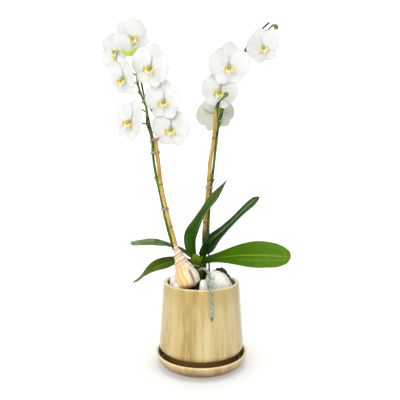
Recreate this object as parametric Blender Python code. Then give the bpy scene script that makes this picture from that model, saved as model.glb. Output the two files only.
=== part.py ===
"""Potted moth orchid: two flower spikes tied to bamboo stakes, standing in a glazed pot on its saucer.

Run with: blender --background --python part.py
Units are metres and +Z is up. The origin is the centre of the saucer's foot, on the surface it stands on.
-Y is the side that most flowers face. Plant points are measured from the centre of the bark's surface.
"""

import math
from dataclasses import dataclass

import bmesh
import bpy
from mathutils import Matrix, Vector

# ---------------------------------------------------------------- driving dimensions
TOUCH_GAP = 0.0003  # left between pieces that touch

SAUCER_MARGIN = 0.0060  # the saucer's lip stands this far outside the pot's widest part
SAUCER_FOOT_SETBACK = 0.0202
SAUCER_HEIGHT = 0.0245
SAUCER_WALL = 0.0042
SAUCER_FLOOR = 0.0060

POT_HEIGHT = 0.1457  # from the saucer's floor to the rim
POT_RIM_RADIUS = 0.0700
POT_BASE_RADIUS = 0.0777  # the widest, at the bottom of the tapered wall
POT_FOOT_SETBACK = 0.0087
POT_FOOT_HEIGHT = 0.0235
POT_BASE_ROUND = 0.0062
POT_WALL = 0.0080
POT_FLOOR = 0.0090
DRAIN_RADIUS = 0.0080
BARK_BELOW_RIM = 0.0100

STEM_RADIUS = 0.0092
STEM_HEIGHT = 0.0560
STEM_DEPTH = 0.0200
STEM_CENTRE = (-0.008, 0.002)

SPIKE_RADIUS = 0.0029
SPIKE_TIP_RADIUS = 0.0017
STAKE_RADIUS = 0.0040
WIRE_RADIUS = 0.0016
PEDICEL_RADIUS = 0.0014
ROOT_RADIUS = 0.0027
CLIP_THICKNESS = 0.0009
CLIP_HEIGHT = 0.0042

ROOT_STEPS = 30
LEAF_THICKNESS = 0.0020
TEPAL_THICKNESS = 0.0012

# ---------------------------------------------------------------- derived places
SAUCER_LIP_RADIUS = POT_BASE_RADIUS + SAUCER_MARGIN
SAUCER_FOOT_RADIUS = SAUCER_LIP_RADIUS - SAUCER_FOOT_SETBACK
POT_FOOT_RADIUS = POT_BASE_RADIUS - POT_FOOT_SETBACK
POT_BOTTOM = SAUCER_FLOOR + TOUCH_GAP
RIM_Z = SAUCER_FLOOR + POT_HEIGHT
BASE_Z = POT_BOTTOM + POT_FOOT_HEIGHT + POT_BASE_ROUND
BARK_TOP = RIM_Z - BARK_BELOW_RIM
RIM_ABOVE_BARK = RIM_Z - BARK_TOP
INSIDE_RADIUS = POT_RIM_RADIUS - POT_WALL
DRESSING_REACH = 0.0620  # the opening that the shells were laid out in
DRESSING_SCALE = INSIDE_RADIUS / DRESSING_REACH

ROUND_STEPS = 40
TUBE_SIDES = 8
THIN_SIDES = 6


def pot_radius(z):
    """Outer radius of the pot's tapered wall at a height."""
    share = (z - BASE_Z) / (RIM_Z - BASE_Z)
    return POT_BASE_RADIUS + share * (POT_RIM_RADIUS - POT_BASE_RADIUS)


# ---------------------------------------------------------------- materials
def material(name, colour, roughness, metallic=0.0):
    """A plain Principled finish, made once for each name."""
    made = bpy.data.materials.get(name) or bpy.data.materials.new(name)
    made.use_nodes = True
    shader = made.node_tree.nodes["Principled BSDF"]
    shader.inputs["Base Color"].default_value = (*colour, 1.0)
    shader.inputs["Roughness"].default_value = roughness
    shader.inputs["Metallic"].default_value = metallic
    return made


def finishes():
    """Every finish on the object, by name."""
    return {
        "glaze": material("glaze", (0.58, 0.45, 0.22), 0.16),
        "bark": material("bark", (0.045, 0.030, 0.018), 0.95),
        "moss": material("moss", (0.030, 0.028, 0.012), 0.95),
        "shell_banded": material("shell_banded", (0.85, 0.62, 0.33), 0.35),
        "shell_white": material("shell_white", (0.86, 0.82, 0.75), 0.45),
        "root": material("root", (0.62, 0.68, 0.58), 0.60),
        "dry_root": material("dry_root", (0.42, 0.30, 0.12), 0.70),
        "stem": material("stem", (0.14, 0.24, 0.03), 0.50),
        "leaf": material("leaf", (0.06, 0.19, 0.02), 0.30),
        "spike": material("spike", (0.10, 0.23, 0.03), 0.42),
        "bamboo": material("bamboo", (0.56, 0.38, 0.14), 0.38),
        "wire": material("wire", (0.03, 0.015, 0.015), 0.40),
        "clip": material("clip", (0.50, 0.42, 0.34), 0.20),
        "tepal": material("tepal", (0.86, 0.86, 0.84), 0.45),
        "lip": material("lip", (0.80, 0.62, 0.10), 0.40),
        "bud": material("bud", (0.20, 0.28, 0.03), 0.42),
        "lime_bud": material("lime_bud", (0.50, 0.62, 0.04), 0.40),
    }


# ---------------------------------------------------------------- modelling helpers
def clear_scene():
    """Empties the scene, whatever it held."""
    for obj in list(bpy.data.objects):
        bpy.data.objects.remove(obj, do_unlink=True)


def add_object(name, mesh, finish, parent=None):
    """Links a mesh as a named object and gives it its finish."""
    obj = bpy.data.objects.new(name, mesh)
    bpy.context.scene.collection.objects.link(obj)
    if finish is not None:
        mesh.materials.append(finish)
    mesh.shade_smooth()
    mesh.set_sharp_from_angle(angle=math.radians(40))
    obj.parent = parent
    return obj


def mesh_of(name, bm):
    """Finishes a bmesh: one closed surface, with its faces pointing out."""
    bmesh.ops.remove_doubles(bm, verts=bm.verts, dist=1e-6)
    bmesh.ops.recalc_face_normals(bm, faces=bm.faces)
    mesh = bpy.data.meshes.new(name)
    bm.to_mesh(mesh)
    bm.free()
    return mesh


def loft(name, rings):
    """A closed mesh through rings of equally many points, with a cap at each end."""
    bm = bmesh.new()
    loops = [[bm.verts.new(point) for point in ring] for ring in rings]
    count = len(loops[0])
    for low, high in zip(loops, loops[1:]):
        for i in range(count):
            j = (i + 1) % count
            bm.faces.new((low[i], low[j], high[j], high[i]))
    bm.faces.new(reversed(loops[0]))
    bm.faces.new(loops[-1])
    return mesh_of(name, bm)


def turned(name, profile):
    """A mesh turned about Z from a closed outline of (radius, height) points."""
    bm = bmesh.new()
    points = [bm.verts.new((radius, 0.0, height)) for radius, height in profile]
    edges = [bm.edges.new(pair) for pair in zip(points, points[1:] + points[:1])]
    bmesh.ops.spin(
        bm,
        geom=points + edges,
        cent=(0.0, 0.0, 0.0),
        axis=(0.0, 0.0, 1.0),
        angle=math.tau,
        steps=ROUND_STEPS,
        use_merge=True,
    )
    return mesh_of(name, bm)


def catmull(points, samples):
    """Points along a smooth curve through the given ones, evenly shared between the spans."""
    points = [Vector(p) for p in points]
    ends = [2 * points[0] - points[1], *points, 2 * points[-1] - points[-2]]
    spans = len(points) - 1
    found = []
    for k in range(samples + 1):
        place = k / samples * spans
        i = min(int(place), spans - 1)
        t = place - i
        p0, p1, p2, p3 = ends[i : i + 4]
        found.append(
            0.5 * (2 * p1 + (p2 - p0) * t + (2 * p0 - 5 * p1 + 4 * p2 - p3) * t * t
                   + (3 * p1 - p0 - 3 * p2 + p3) * t ** 3)
        )
    return found


def frames_along(route):
    """(point, side, over, tangent) at each point of a route, turning as little as possible."""
    tangents = [
        (route[min(i + 1, len(route) - 1)] - route[max(i - 1, 0)]).normalized()
        for i in range(len(route))
    ]
    side = tangents[0].orthogonal().normalized()
    frames = []
    for point, tangent in zip(route, tangents):
        side = (side - tangent * side.dot(tangent)).normalized()
        frames.append((point, side, tangent.cross(side), tangent))
    return frames


def tube(name, route, radii, sides=TUBE_SIDES):
    """A round closed tube along a route, with a radius at each point."""
    rings = []
    for (point, side, over, _), radius in zip(frames_along(route), radii):
        rings.append([
            point + radius * (math.cos(a) * side + math.sin(a) * over)
            for a in (math.tau * k / sides for k in range(sides))
        ])
    return loft(name, rings)


def taper(count, start, end):
    """Radii that run evenly from one value to another."""
    return [start + (end - start) * i / (count - 1) for i in range(count)]


def helper(name, mesh, parent=None):
    """A hidden object that a Boolean reads."""
    obj = add_object(name, mesh, None, parent)
    obj.hide_render = True
    obj.display_type = "WIRE"
    return obj


def boolean(obj, other, operation):
    """Adds a Boolean that cuts or joins another object."""
    modifier = obj.modifiers.new(other.name, "BOOLEAN")
    modifier.operation = operation
    modifier.object = other


# ---------------------------------------------------------------- pot and saucer
def make_saucer(finish):
    """A shallow dish with a bowed side and a rounded lip."""
    lip_round = SAUCER_WALL / 2
    rise = SAUCER_HEIGHT - SAUCER_FLOOR
    profile = [
        (0.0, 0.0),
        (SAUCER_FOOT_RADIUS, 0.0),
        (SAUCER_FOOT_RADIUS + 0.0085, 0.0035),
        (SAUCER_LIP_RADIUS - 0.0040, 0.0105),
        (SAUCER_LIP_RADIUS, SAUCER_HEIGHT - lip_round),
        (SAUCER_LIP_RADIUS - lip_round, SAUCER_HEIGHT),
        (SAUCER_LIP_RADIUS - SAUCER_WALL, SAUCER_HEIGHT - lip_round),
        (SAUCER_LIP_RADIUS - SAUCER_WALL - 0.0012, SAUCER_FLOOR + 0.35 * rise),
        (SAUCER_LIP_RADIUS - SAUCER_WALL - 0.0045, SAUCER_FLOOR),
        (0.0, SAUCER_FLOOR),
    ]
    return add_object("saucer", turned("saucer", profile), finish)


def make_pot(finish):
    """A tapered pot, wider at its base, with a set-in foot ring and a drain hole."""
    inner_foot = POT_FOOT_RADIUS - POT_WALL
    under_floor = POT_BOTTOM + 0.0040
    inside_floor = under_floor + POT_FLOOR
    lip = POT_WALL / 4
    profile = [
        (DRAIN_RADIUS, under_floor),
        (inner_foot, under_floor),
        (inner_foot, POT_BOTTOM),
        (POT_FOOT_RADIUS, POT_BOTTOM),
        (POT_FOOT_RADIUS, POT_BOTTOM + POT_FOOT_HEIGHT),
        (POT_BASE_RADIUS - 0.3 * POT_BASE_ROUND, BASE_Z - 0.7 * POT_BASE_ROUND),
        (POT_BASE_RADIUS, BASE_Z),
        (POT_RIM_RADIUS, RIM_Z - lip),
        (POT_RIM_RADIUS - lip, RIM_Z),
        (POT_RIM_RADIUS - POT_WALL + lip, RIM_Z),
        (POT_RIM_RADIUS - POT_WALL, RIM_Z - lip),
        (POT_FOOT_RADIUS - POT_WALL / 2, inside_floor + POT_WALL),
        (inner_foot - POT_WALL, inside_floor),
        (DRAIN_RADIUS, inside_floor),
    ]
    return add_object("pot", turned("pot", profile), finish), inside_floor


def make_bark(finish, inside_floor):
    """The potting bark: it fills the pot's inside, a gap short of the wall."""
    wall_top = POT_RIM_RADIUS - POT_WALL
    wall_low = POT_FOOT_RADIUS - POT_WALL / 2
    low_z = inside_floor + POT_WALL
    share = (BARK_TOP - low_z) / (RIM_Z - low_z)
    edge = wall_low + share * (wall_top - wall_low) - 3 * TOUCH_GAP
    profile = [
        (0.0, inside_floor + TOUCH_GAP),
        (POT_FOOT_RADIUS - 2 * POT_WALL - TOUCH_GAP, inside_floor + TOUCH_GAP),
        (wall_low - 2 * TOUCH_GAP, low_z),
        (edge, BARK_TOP - 0.004),
        (edge - 0.004, BARK_TOP - 0.001),
        (0.030, BARK_TOP),
        (0.0, BARK_TOP),
    ]
    return add_object("potting_bark", turned("potting_bark", profile), finish)


# ---------------------------------------------------------------- top dressing
@dataclass
class Lump:
    """A rounded body with three half sizes, turned about Z, on the bark; its centre may be measured from a wire."""

    name: str
    finish: str
    centre: tuple
    half: tuple
    turn: float
    beside: str = ""


LUMPS = (
    Lump("cockle_shell", "shell_white", (0.0305, -0.0235), (0.0245, 0.0160, 0.0172), -14),
    Lump("pebble_shell_left", "shell_white", (-0.0490, -0.0150), (0.0068, 0.0075, 0.0125), 20),
    Lump("moss_mound", "moss", (0.0345, 0.0100), (0.0225, 0.0110, 0.0182), 4),
    Lump("bark_chunk_back", "bark", (0.0120, 0.0470), (0.0110, 0.0065, 0.0080), 15),
    Lump("bark_chunk_left", "bark", (-0.0045, 0.01138), (0.0110, 0.0070, 0.0080), 40, "left"),
)
LUMP_SECTIONS = ((0.0, 0.84), (0.22, 1.0), (0.50, 0.92), (0.80, 0.64), (0.97, 0.24))
LUMP_SIDES = 12


def make_lump(lump, finish):
    """A low-sided ellipsoid whose underside is flat, so that it sits on the bark."""
    half_x, half_y, half_z = (DRESSING_SCALE * size for size in lump.half)
    rings = []
    for level, spread in LUMP_SECTIONS:
        rings.append([
            Vector((half_x * spread * math.cos(a), half_y * spread * math.sin(a), 2 * half_z * level))
            for a in (math.tau * k / LUMP_SIDES for k in range(LUMP_SIDES))
        ])
    obj = add_object(lump.name, loft(lump.name, rings), finish)
    x, y = (DRESSING_SCALE * offset for offset in lump.centre)
    if lump.beside:
        wire = at_height(bundle_route(lump.beside, "wire"), lump.half[2])
        x, y = wire.x + x, wire.y + y
    obj.location = (x, y, BARK_TOP + TOUCH_GAP)
    obj.rotation_euler.z = math.radians(lump.turn)
    return obj


@dataclass
class SpiralShell:
    """A pointed shell: its tip, foot and (share of the way, radius) outline, and whose stake its tip leans on."""

    name: str
    finish: str
    tip: tuple
    foot: tuple
    outline: tuple
    sides: int
    leans: str = ""


SPIRAL_SHELLS = (
    SpiralShell("whelk_shell", "shell_banded", (-0.0487, -0.0185, 0.0815), (-0.0185, -0.0300, 0.0060), (
        (0.00, 0.0010), (0.10, 0.0042), (0.22, 0.0080), (0.36, 0.0110), (0.48, 0.0140), (0.60, 0.0178),
        (0.72, 0.0206), (0.84, 0.0214), (0.94, 0.0195), (1.00, 0.0120)), 16, "left"),
    SpiralShell("cone_shell", "shell_white", (0.0062, -0.0440, 0.0235), (0.0068, -0.0465, 0.0040), (
        (0.00, 0.0010), (0.30, 0.0032), (0.70, 0.0038), (1.00, 0.0020)), 8),
)


def make_spiral_shell(shell, finish, plant):
    """A shell that stands on its foot with its point up."""
    tip, foot = (DRESSING_SCALE * Vector(end) for end in (shell.tip, shell.foot))
    if shell.leans:
        tip = Vector(shell.tip)
        tip.y = LANES[shell.leans][1] - STAKE_RADIUS - LEAN_GAP
    route = [tip.lerp(foot, share) for share, _ in shell.outline]
    radii = [DRESSING_SCALE * radius for _, radius in shell.outline]
    return add_object(shell.name, tube(shell.name, route, radii, shell.sides), finish, plant)


# ---------------------------------------------------------------- stem, roots and leaves
def make_stem(finish, plant):
    """The short upright stem that the leaves, spikes and roots grow from."""
    x, y = STEM_CENTRE
    heights = (-STEM_DEPTH, 0.0, 0.40 * STEM_HEIGHT, 0.85 * STEM_HEIGHT, STEM_HEIGHT)
    shares = (0.75, 0.95, 1.0, 0.85, 0.40)
    route = [Vector((x, y, z)) for z in heights]
    radii = [STEM_RADIUS * share for share in shares]
    return add_object("crown_stem", tube("crown_stem", route, radii, 10), finish, plant)


def front_root_route():
    """The silvery root's way: out of the stem, over the rim and down the pot's outside."""
    lift = ROOT_RADIUS + 2 * TOUCH_GAP
    over_rim = RIM_ABOVE_BARK + lift
    mid_rim = POT_RIM_RADIUS - POT_WALL / 2
    start_y = STEM_CENTRE[1] - STEM_RADIUS - lift - 0.0010
    reach = mid_rim - 0.0030 + start_y
    inside = [Vector((STEM_CENTRE[0] + 0.0040, start_y, 0.0330))]
    for share, x, z in ((0.26, 0.0045, 0.0378), (0.60, 0.0125, 0.0340), (0.86, 0.0145, 0.0235)):
        inside.append(Vector((x, start_y - share * reach, z)))
    inside.append(Vector((0.0150, -mid_rim + 0.0030, over_rim + 0.0020)))
    outside = []
    for drop, x in ((-0.001, 0.0152), (0.010, 0.0158), (0.024, 0.0178), (0.037, 0.0172), (0.050, 0.0170)):
        z = RIM_Z - drop
        out = pot_radius(z) + lift + (0.0008 if drop < 0.012 else 0.0)
        outside.append(Vector((x, -math.sqrt(out * out - x * x), z - BARK_TOP)))
    return catmull(inside + outside, ROOT_STEPS)


def make_roots(finish, dry_finish, plant):
    """The root that hangs over the rim, and a dry one that lies across the top."""
    route = front_root_route()
    radii = taper(len(route), ROOT_RADIUS, 0.85 * ROOT_RADIUS)
    radii[-1] = 0.35 * ROOT_RADIUS
    add_object("aerial_root", tube("aerial_root", route, radii, THIN_SIDES), finish, plant)
    front = STEM_CENTRE[1] - STEM_RADIUS - 0.0030
    dry = catmull([(-0.0195, front, 0.0420), (-0.0110, front, 0.0405), (-0.0050, front, 0.0390)], 6)
    add_object("dry_root", tube("dry_root", dry, taper(7, 0.0013, 0.0011), THIN_SIDES), dry_finish, plant)


@dataclass
class Leaf:
    """A strap leaf: the height it leaves the stem at, then its stations outwards.

    Each station is (midrib point, direction across, half width, fold).
    """

    name: str
    height: float
    stations: tuple


LEAVES = (
    Leaf("leaf_right", 0.0440, (
        ((0.0280, -0.0110, 0.0530), (0.00, 0.78, 0.64), 0.0110, 0.32),
        ((0.0600, -0.0230, 0.0600), (0.00, 0.76, 0.66), 0.0205, 0.22),
        ((0.0960, -0.0350, 0.0635), (0.00, 0.73, 0.68), 0.0285, 0.14),
        ((0.1280, -0.0440, 0.0640), (0.05, 0.72, 0.69), 0.0260, 0.12),
        ((0.1480, -0.0490, 0.0630), (0.10, 0.72, 0.69), 0.0150, 0.10),
        ((0.1540, -0.0505, 0.0620), (0.10, 0.72, 0.69), 0.0040, 0.06),
    )),
    Leaf("leaf_back_right", 0.0550, (
        ((0.0130, -0.0040, 0.0680), (0.62, 0.60, -0.50), 0.0150, 0.35),
        ((0.0260, -0.0070, 0.0865), (0.52, 0.70, -0.48), 0.0180, 0.30),
        ((0.0430, -0.0080, 0.1040), (0.44, 0.80, -0.40), 0.0145, 0.28),
        ((0.0660, -0.0060, 0.1270), (0.48, 0.80, -0.36), 0.0125, 0.26),
        ((0.0950, -0.0010, 0.1540), (0.48, 0.80, -0.36), 0.0120, 0.22),
        ((0.1080, 0.0020, 0.1655), (0.48, 0.80, -0.36), 0.0050, 0.15),
    )),
    Leaf("leaf_upright", 0.0560, (
        ((-0.0185, -0.0125, 0.0800), (0.82, 0.57, 0.10), 0.0125, 0.30),
        ((-0.0160, -0.0180, 0.1000), (0.80, 0.60, 0.02), 0.0150, 0.25),
        ((-0.0050, -0.0235, 0.1240), (0.62, 0.76, -0.16), 0.0130, 0.20),
        ((0.0090, -0.0260, 0.1450), (0.52, 0.80, -0.28), 0.0122, 0.18),
        ((0.0270, -0.0260, 0.1700), (0.52, 0.80, -0.30), 0.0112, 0.16),
        ((0.0460, -0.0235, 0.1970), (0.44, 0.88, -0.22), 0.0022, 0.10),
    )),
    Leaf("leaf_far_left", 0.0500, (
        ((-0.0370, 0.0200, 0.0620), (0.10, 0.99, 0.10), 0.0085, 0.35),
        ((-0.0600, 0.0235, 0.0710), (0.03, 0.98, 0.14), 0.0120, 0.25),
        ((-0.0860, 0.0190, 0.0765), (0.00, 0.97, 0.18), 0.0175, 0.18),
        ((-0.1100, 0.0130, 0.0775), (0.00, 0.97, 0.20), 0.0175, 0.14),
        ((-0.1280, 0.0100, 0.0780), (0.00, 0.97, 0.22), 0.0100, 0.10),
        ((-0.1335, 0.0090, 0.0782), (0.00, 0.97, 0.20), 0.0030, 0.06),
    )),
    Leaf("leaf_low_left", 0.0390, (
        ((-0.0340, 0.0225, 0.0430), (0.00, 0.90, 0.42), 0.0070, 0.35),
        ((-0.0570, 0.0150, 0.0425), (-0.05, 0.88, 0.47), 0.0130, 0.25),
        ((-0.0800, -0.0010, 0.0370), (-0.02, 0.90, 0.42), 0.0160, 0.18),
        ((-0.1000, -0.0160, 0.0260), (0.10, 0.96, 0.22), 0.0140, 0.14),
        ((-0.1140, -0.0240, 0.0175), (0.15, 0.98, 0.12), 0.0075, 0.10),
        ((-0.1220, -0.0290, 0.0125), (0.15, 0.98, 0.10), 0.0022, 0.06),
    )),
)
LEAF_BASE_WIDTH = 0.0050
LEAF_BASE_FOLD = 0.50
LEAF_STEPS = 10


def leaf_ring(point, across, tangent, half_width, fold, thick):
    """A leaf's cross-section: a shallow V with its midrib lowest and rounded thin edges."""
    across = (across - tangent * across.dot(tangent)).normalized()
    normal = across.cross(tangent).normalized()
    if normal.z < 0:
        normal = -normal
    rise = [(share, fold * abs(share) ** 1.4 * half_width) for share in (-1.0, -0.5, 0.0, 0.5, 1.0)]
    top = [point + across * (s * half_width) + normal * (h + thick / 2 * (1 - 0.6 * abs(s))) for s, h in rise]
    low = [point + across * (s * half_width) + normal * (h - thick / 2 * (1 - 0.6 * abs(s))) for s, h in rise]
    return top + low[::-1]


def make_leaf(leaf, finish, plant):
    """A thin closed solid lofted through the leaf's stations, starting clear of the stem."""
    first = Vector(leaf.stations[0][0])
    axis = Vector((*STEM_CENTRE, leaf.height))
    out = (first - axis).to_2d().normalized()
    start = axis + out.to_3d() * (STEM_RADIUS + LEAF_THICKNESS + 4 * TOUCH_GAP)
    stations = ((start, leaf.stations[0][1], LEAF_BASE_WIDTH, LEAF_BASE_FOLD), *leaf.stations)
    points = catmull([s[0] for s in stations], LEAF_STEPS)
    acrosses = catmull([s[1] for s in stations], LEAF_STEPS)
    shapes = catmull([(s[2], s[3], 0.0) for s in stations], LEAF_STEPS)
    frames = frames_along(points)
    rings = [
        leaf_ring(point, across, frame[3], shape[0], shape[1], LEAF_THICKNESS)
        for point, across, frame, shape in zip(points, acrosses, frames, shapes)
    ]
    return add_object(leaf.name, loft(leaf.name, rings), finish, plant)


# ---------------------------------------------------------------- spikes, stakes, wires and clips
LANE_GAP = 2 * TOUCH_GAP
LEAN_GAP = 0.0010
BUNDLE_FOOT = 0.0500  # below this height above the bark, stakes and wires stand apart, measured from the spike's lane
LANES = {  # (spike, stake in front of it, wire behind it): y of the middle of each, side by side
    "left": (-0.0060, -0.0060 - SPIKE_RADIUS - STAKE_RADIUS - LANE_GAP, -0.0060 + SPIKE_RADIUS + WIRE_RADIUS + LANE_GAP),
    "right": (0.0215, 0.0215 - SPIKE_RADIUS - STAKE_RADIUS - LANE_GAP, 0.0215 + SPIKE_RADIUS + WIRE_RADIUS + LANE_GAP),
}
ROUTES = {  # (x, distance behind the piece's own lane, height above the bark)
    ("left", "spike"): (
        (-0.0350, 0.0090, 0.0480), (-0.0500, 0.0025, 0.0690),
        (-0.0610, 0.0000, 0.1060), (-0.0690, 0.0000, 0.1400), (-0.0765, 0.0000, 0.1775),
        (-0.0850, 0.0000, 0.2170), (-0.0885, 0.0000, 0.2460), (-0.0890, 0.0000, 0.2620),
        (-0.0925, 0.0000, 0.2815), (-0.0980, 0.0000, 0.2970), (-0.0990, 0.0000, 0.3110),
        (-0.0995, 0.0000, 0.3265), (-0.1045, 0.0000, 0.3400), (-0.1130, 0.0000, 0.3620),
        (-0.1165, 0.0010, 0.3800), (-0.1175, 0.0040, 0.4000), (-0.1200, 0.0090, 0.4200),
        (-0.1290, 0.0140, 0.4360),
    ),
    ("right", "spike"): (
        (0.0065, 0.0035, 0.0620), (0.0103, 0.0002, 0.0944), (0.0125, 0.0000, 0.1250),
        (0.0175, 0.0000, 0.1720), (0.0200, 0.0000, 0.1967), (0.0240, 0.0000, 0.2292),
        (0.0285, 0.0000, 0.2700), (0.0310, 0.0000, 0.2902), (0.0357, 0.0000, 0.3200),
        (0.0415, 0.0005, 0.3456), (0.0520, 0.0020, 0.3780), (0.0660, 0.0015, 0.4110),
        (0.0815, -0.0015, 0.4400), (0.0960, -0.0055, 0.4600), (0.1100, -0.0085, 0.4705),
        (0.1210, -0.0095, 0.4740),
    ),
    ("left", "stake"): (
        (-0.0160, 0.0185, -0.0850), (-0.0330, 0.0085, 0.0000), (-0.0471, 0.0020, 0.0785),
        (-0.0555, 0.0000, 0.1100), (-0.0640, 0.0000, 0.1450), (-0.0725, 0.0000, 0.1840),
        (-0.0780, 0.0000, 0.2300), (-0.0830, 0.0000, 0.2730),
    ),
    ("right", "stake"): (
        (0.0070, -0.0060, -0.0850), (0.0065, -0.0065, 0.0000), (0.0050, -0.0020, 0.0850),
        (0.0062, 0.0000, 0.1100), (0.0095, 0.0000, 0.1510), (0.0135, 0.0000, 0.1850),
        (0.0160, 0.0000, 0.2292), (0.0235, 0.0000, 0.2737), (0.0275, 0.0000, 0.3290),
    ),
    ("left", "wire"): (
        (-0.0300, 0.0226, -0.0600), (-0.0420, 0.0146, 0.0450), (-0.0505, 0.0035, 0.0750),
        (-0.0570, 0.0000, 0.1060),
        (-0.0690, 0.0000, 0.1600), (-0.0790, 0.0000, 0.2170), (-0.0860, 0.0000, 0.2600),
        (-0.0925, 0.0000, 0.2900), (-0.0970, 0.0000, 0.3100), (-0.1030, 0.0000, 0.3430),
        (-0.1070, 0.0010, 0.3600), (-0.1115, 0.0060, 0.3840), (-0.1130, 0.0100, 0.4000),
    ),
    ("right", "wire"): (
        (0.0170, 0.0081, -0.0600), (0.0150, 0.0071, 0.0400), (0.0140, 0.0000, 0.1000),
        (0.0175, 0.0000, 0.1600), (0.0235, 0.0000, 0.2200), (0.0300, 0.0000, 0.2800),
        (0.0385, 0.0000, 0.3200), (0.0450, 0.0008, 0.3450), (0.0560, 0.0023, 0.3770),
        (0.0700, 0.0018, 0.4110), (0.0850, -0.0014, 0.4420), (0.1000, -0.0067, 0.4640),
        (0.1130, -0.0102, 0.4780), (0.1260, -0.0122, 0.4890),
    ),
}
STEPS = {"spike": 34, "stake": 12, "wire": 22}
RADII = {"spike": SPIKE_RADIUS, "stake": STAKE_RADIUS, "wire": WIRE_RADIUS}
SPIKE_ROOTS = {"left": (200, 0.0340), "right": (78, 0.0360)}  # (bearing on the stem, height)
STUBS = {  # each stub: height on the spike, its own route's ends as offsets, radius
    "left": (
        ("stub_low", 0.2985, (-0.0110, -0.0010, 0.0006), 0.0015),
        ("stub_high", 0.3690, (-0.0085, -0.0015, 0.0055), 0.0014),
        ("dry_bract", 0.3370, (0.0140, 0.0000, -0.0150), 0.0018),
    ),
    "right": (),
}


def bundle_route(side, piece):
    """The smooth route of a spike, stake or wire, in its own lane of its bundle."""
    lane = LANES[side][("spike", "stake", "wire").index(piece)]
    own = LANES[side][0]
    points = [Vector((x, (lane if z > BUNDLE_FOOT else own) + behind, z)) for x, behind, z in ROUTES[side, piece]]
    if piece == "spike":
        bearing, height = SPIKE_ROOTS[side]
        reach = STEM_RADIUS + SPIKE_RADIUS + LANE_GAP
        a = math.radians(bearing)
        x, y = STEM_CENTRE
        points.insert(0, Vector((x + reach * math.cos(a), y + reach * math.sin(a), height)))
    else:
        points[0].xy *= DRESSING_SCALE  # its foot stands in the bark, inside the pot's opening
    return catmull(points, STEPS[piece])


def nearest_on(route, height):
    """The route's point and direction nearest to a height above the bark."""
    i = min(range(len(route)), key=lambda k: abs(route[k].z - height))
    ahead = route[min(i + 1, len(route) - 1)] - route[max(i - 1, 0)]
    return route[i], ahead.normalized()


def at_height(route, height):
    """The point where a rising route passes a height."""
    for low, high in zip(route, route[1:]):
        if low.z <= height <= high.z:
            return low.lerp(high, (height - low.z) / (high.z - low.z))
    return min(route, key=lambda point: abs(point.z - height))


def make_spike(side, route, finish, plant):
    """A flower spike, with the stubs where flowers have dropped."""
    radii = taper(len(route), SPIKE_RADIUS, SPIKE_TIP_RADIUS)
    spike = add_object("spike_" + side, tube("spike", route, radii), finish, plant)
    for stub, height, offset, radius in STUBS[side]:
        start = at_height(route, height)
        path = [start + Vector(offset) * share for share in (0.0, 0.5, 1.0)]
        joined = helper(stub, tube(stub, path, (radius, radius, 0.8 * radius), THIN_SIDES), plant)
        boolean(spike, joined, "UNION")
    return spike


def make_clip(name, height, tied, finish, plant):
    """A thin band around the routes that it ties, each given with its radius."""
    centres = [(at_height(route, height), radius) for route, radius in tied]
    lean = nearest_on(tied[0][0], height)[1]
    origin = sum((c for c, _ in centres), Vector()) / len(centres)
    u = lean.orthogonal().normalized()
    v = lean.cross(u)
    sides = 16

    def outline(offset, along):
        ring = []
        for k in range(sides):
            a = math.tau * k / sides
            way = u * math.cos(a) + v * math.sin(a)
            centre, radius = max(centres, key=lambda c: (c[0] - origin).dot(way) + c[1])
            flat = centre - lean * (centre - origin).dot(lean)
            ring.append(flat + way * (radius + offset) + lean * along)
        return ring

    inner, outer = 2 * TOUCH_GAP, 2 * TOUCH_GAP + CLIP_THICKNESS
    loops = [
        outline(inner, -CLIP_HEIGHT / 2), outline(outer, -CLIP_HEIGHT / 2),
        outline(outer, CLIP_HEIGHT / 2), outline(inner, CLIP_HEIGHT / 2),
    ]
    bm = bmesh.new()
    rows = [[bm.verts.new(point) for point in loop] for loop in loops]
    for row, after in zip(rows, rows[1:] + rows[:1]):
        for i in range(sides):
            j = (i + 1) % sides
            bm.faces.new((row[i], row[j], after[j], after[i]))
    return add_object(name, mesh_of(name, bm), finish, plant)


# ---------------------------------------------------------------- flowers and buds
@dataclass
class Flower:
    """An open flower: where its parts join, the way it faces, its roll and its size."""

    name: str
    spike: str
    attach: float
    centre: tuple
    facing: tuple
    roll: float
    half_width: float
    cup: float


FLOWERS = (
    Flower("left_1", "left", 0.4250, (-0.1225, -0.0260, 0.4455), (0.10, -0.96, -0.22), 48, 0.0315, 0.10),
    Flower("left_2", "left", 0.4350, (-0.1585, 0.0090, 0.4330), (-0.58, -0.78, -0.22), 44, 0.0335, 0.12),
    Flower("left_3", "left", 0.3920, (-0.1365, -0.0250, 0.3760), (-0.64, -0.70, -0.30), -12, 0.0350, 0.14),
    Flower("left_4", "left", 0.4020, (-0.0860, -0.0520, 0.3875), (-0.34, -0.90, -0.26), -22, 0.0370, 0.08),
    Flower("left_5", "left", 0.3500, (-0.0650, -0.0340, 0.3350), (-0.30, -0.92, -0.24), -8, 0.0350, 0.08),
    Flower("left_6", "left", 0.2800, (-0.0540, -0.0180, 0.2895), (-0.26, -0.94, -0.20), -4, 0.0365, 0.08),
    Flower("left_7", "left", 0.3180, (-0.1250, -0.0250, 0.2995), (-0.62, -0.78, 0.04), -22, 0.0370, 0.12),
    Flower("right_1", "right", 0.4220, (0.0475, -0.0300, 0.3955), (0.04, -0.96, -0.27), 0, 0.0370, 0.08),
    Flower("right_2", "right", 0.3900, (0.0330, -0.0080, 0.3580), (-0.18, -0.94, -0.28), -16, 0.0350, 0.08),
    Flower("right_3", "right", 0.3550, (0.0275, 0.0480, 0.3275), (0.10, 0.96, -0.24), -12, 0.0380, 0.10),
    Flower("right_4", "right", 0.4660, (0.1110, -0.0080, 0.4365), (-0.04, -0.96, -0.28), 16, 0.0305, 0.12),
)
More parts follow.
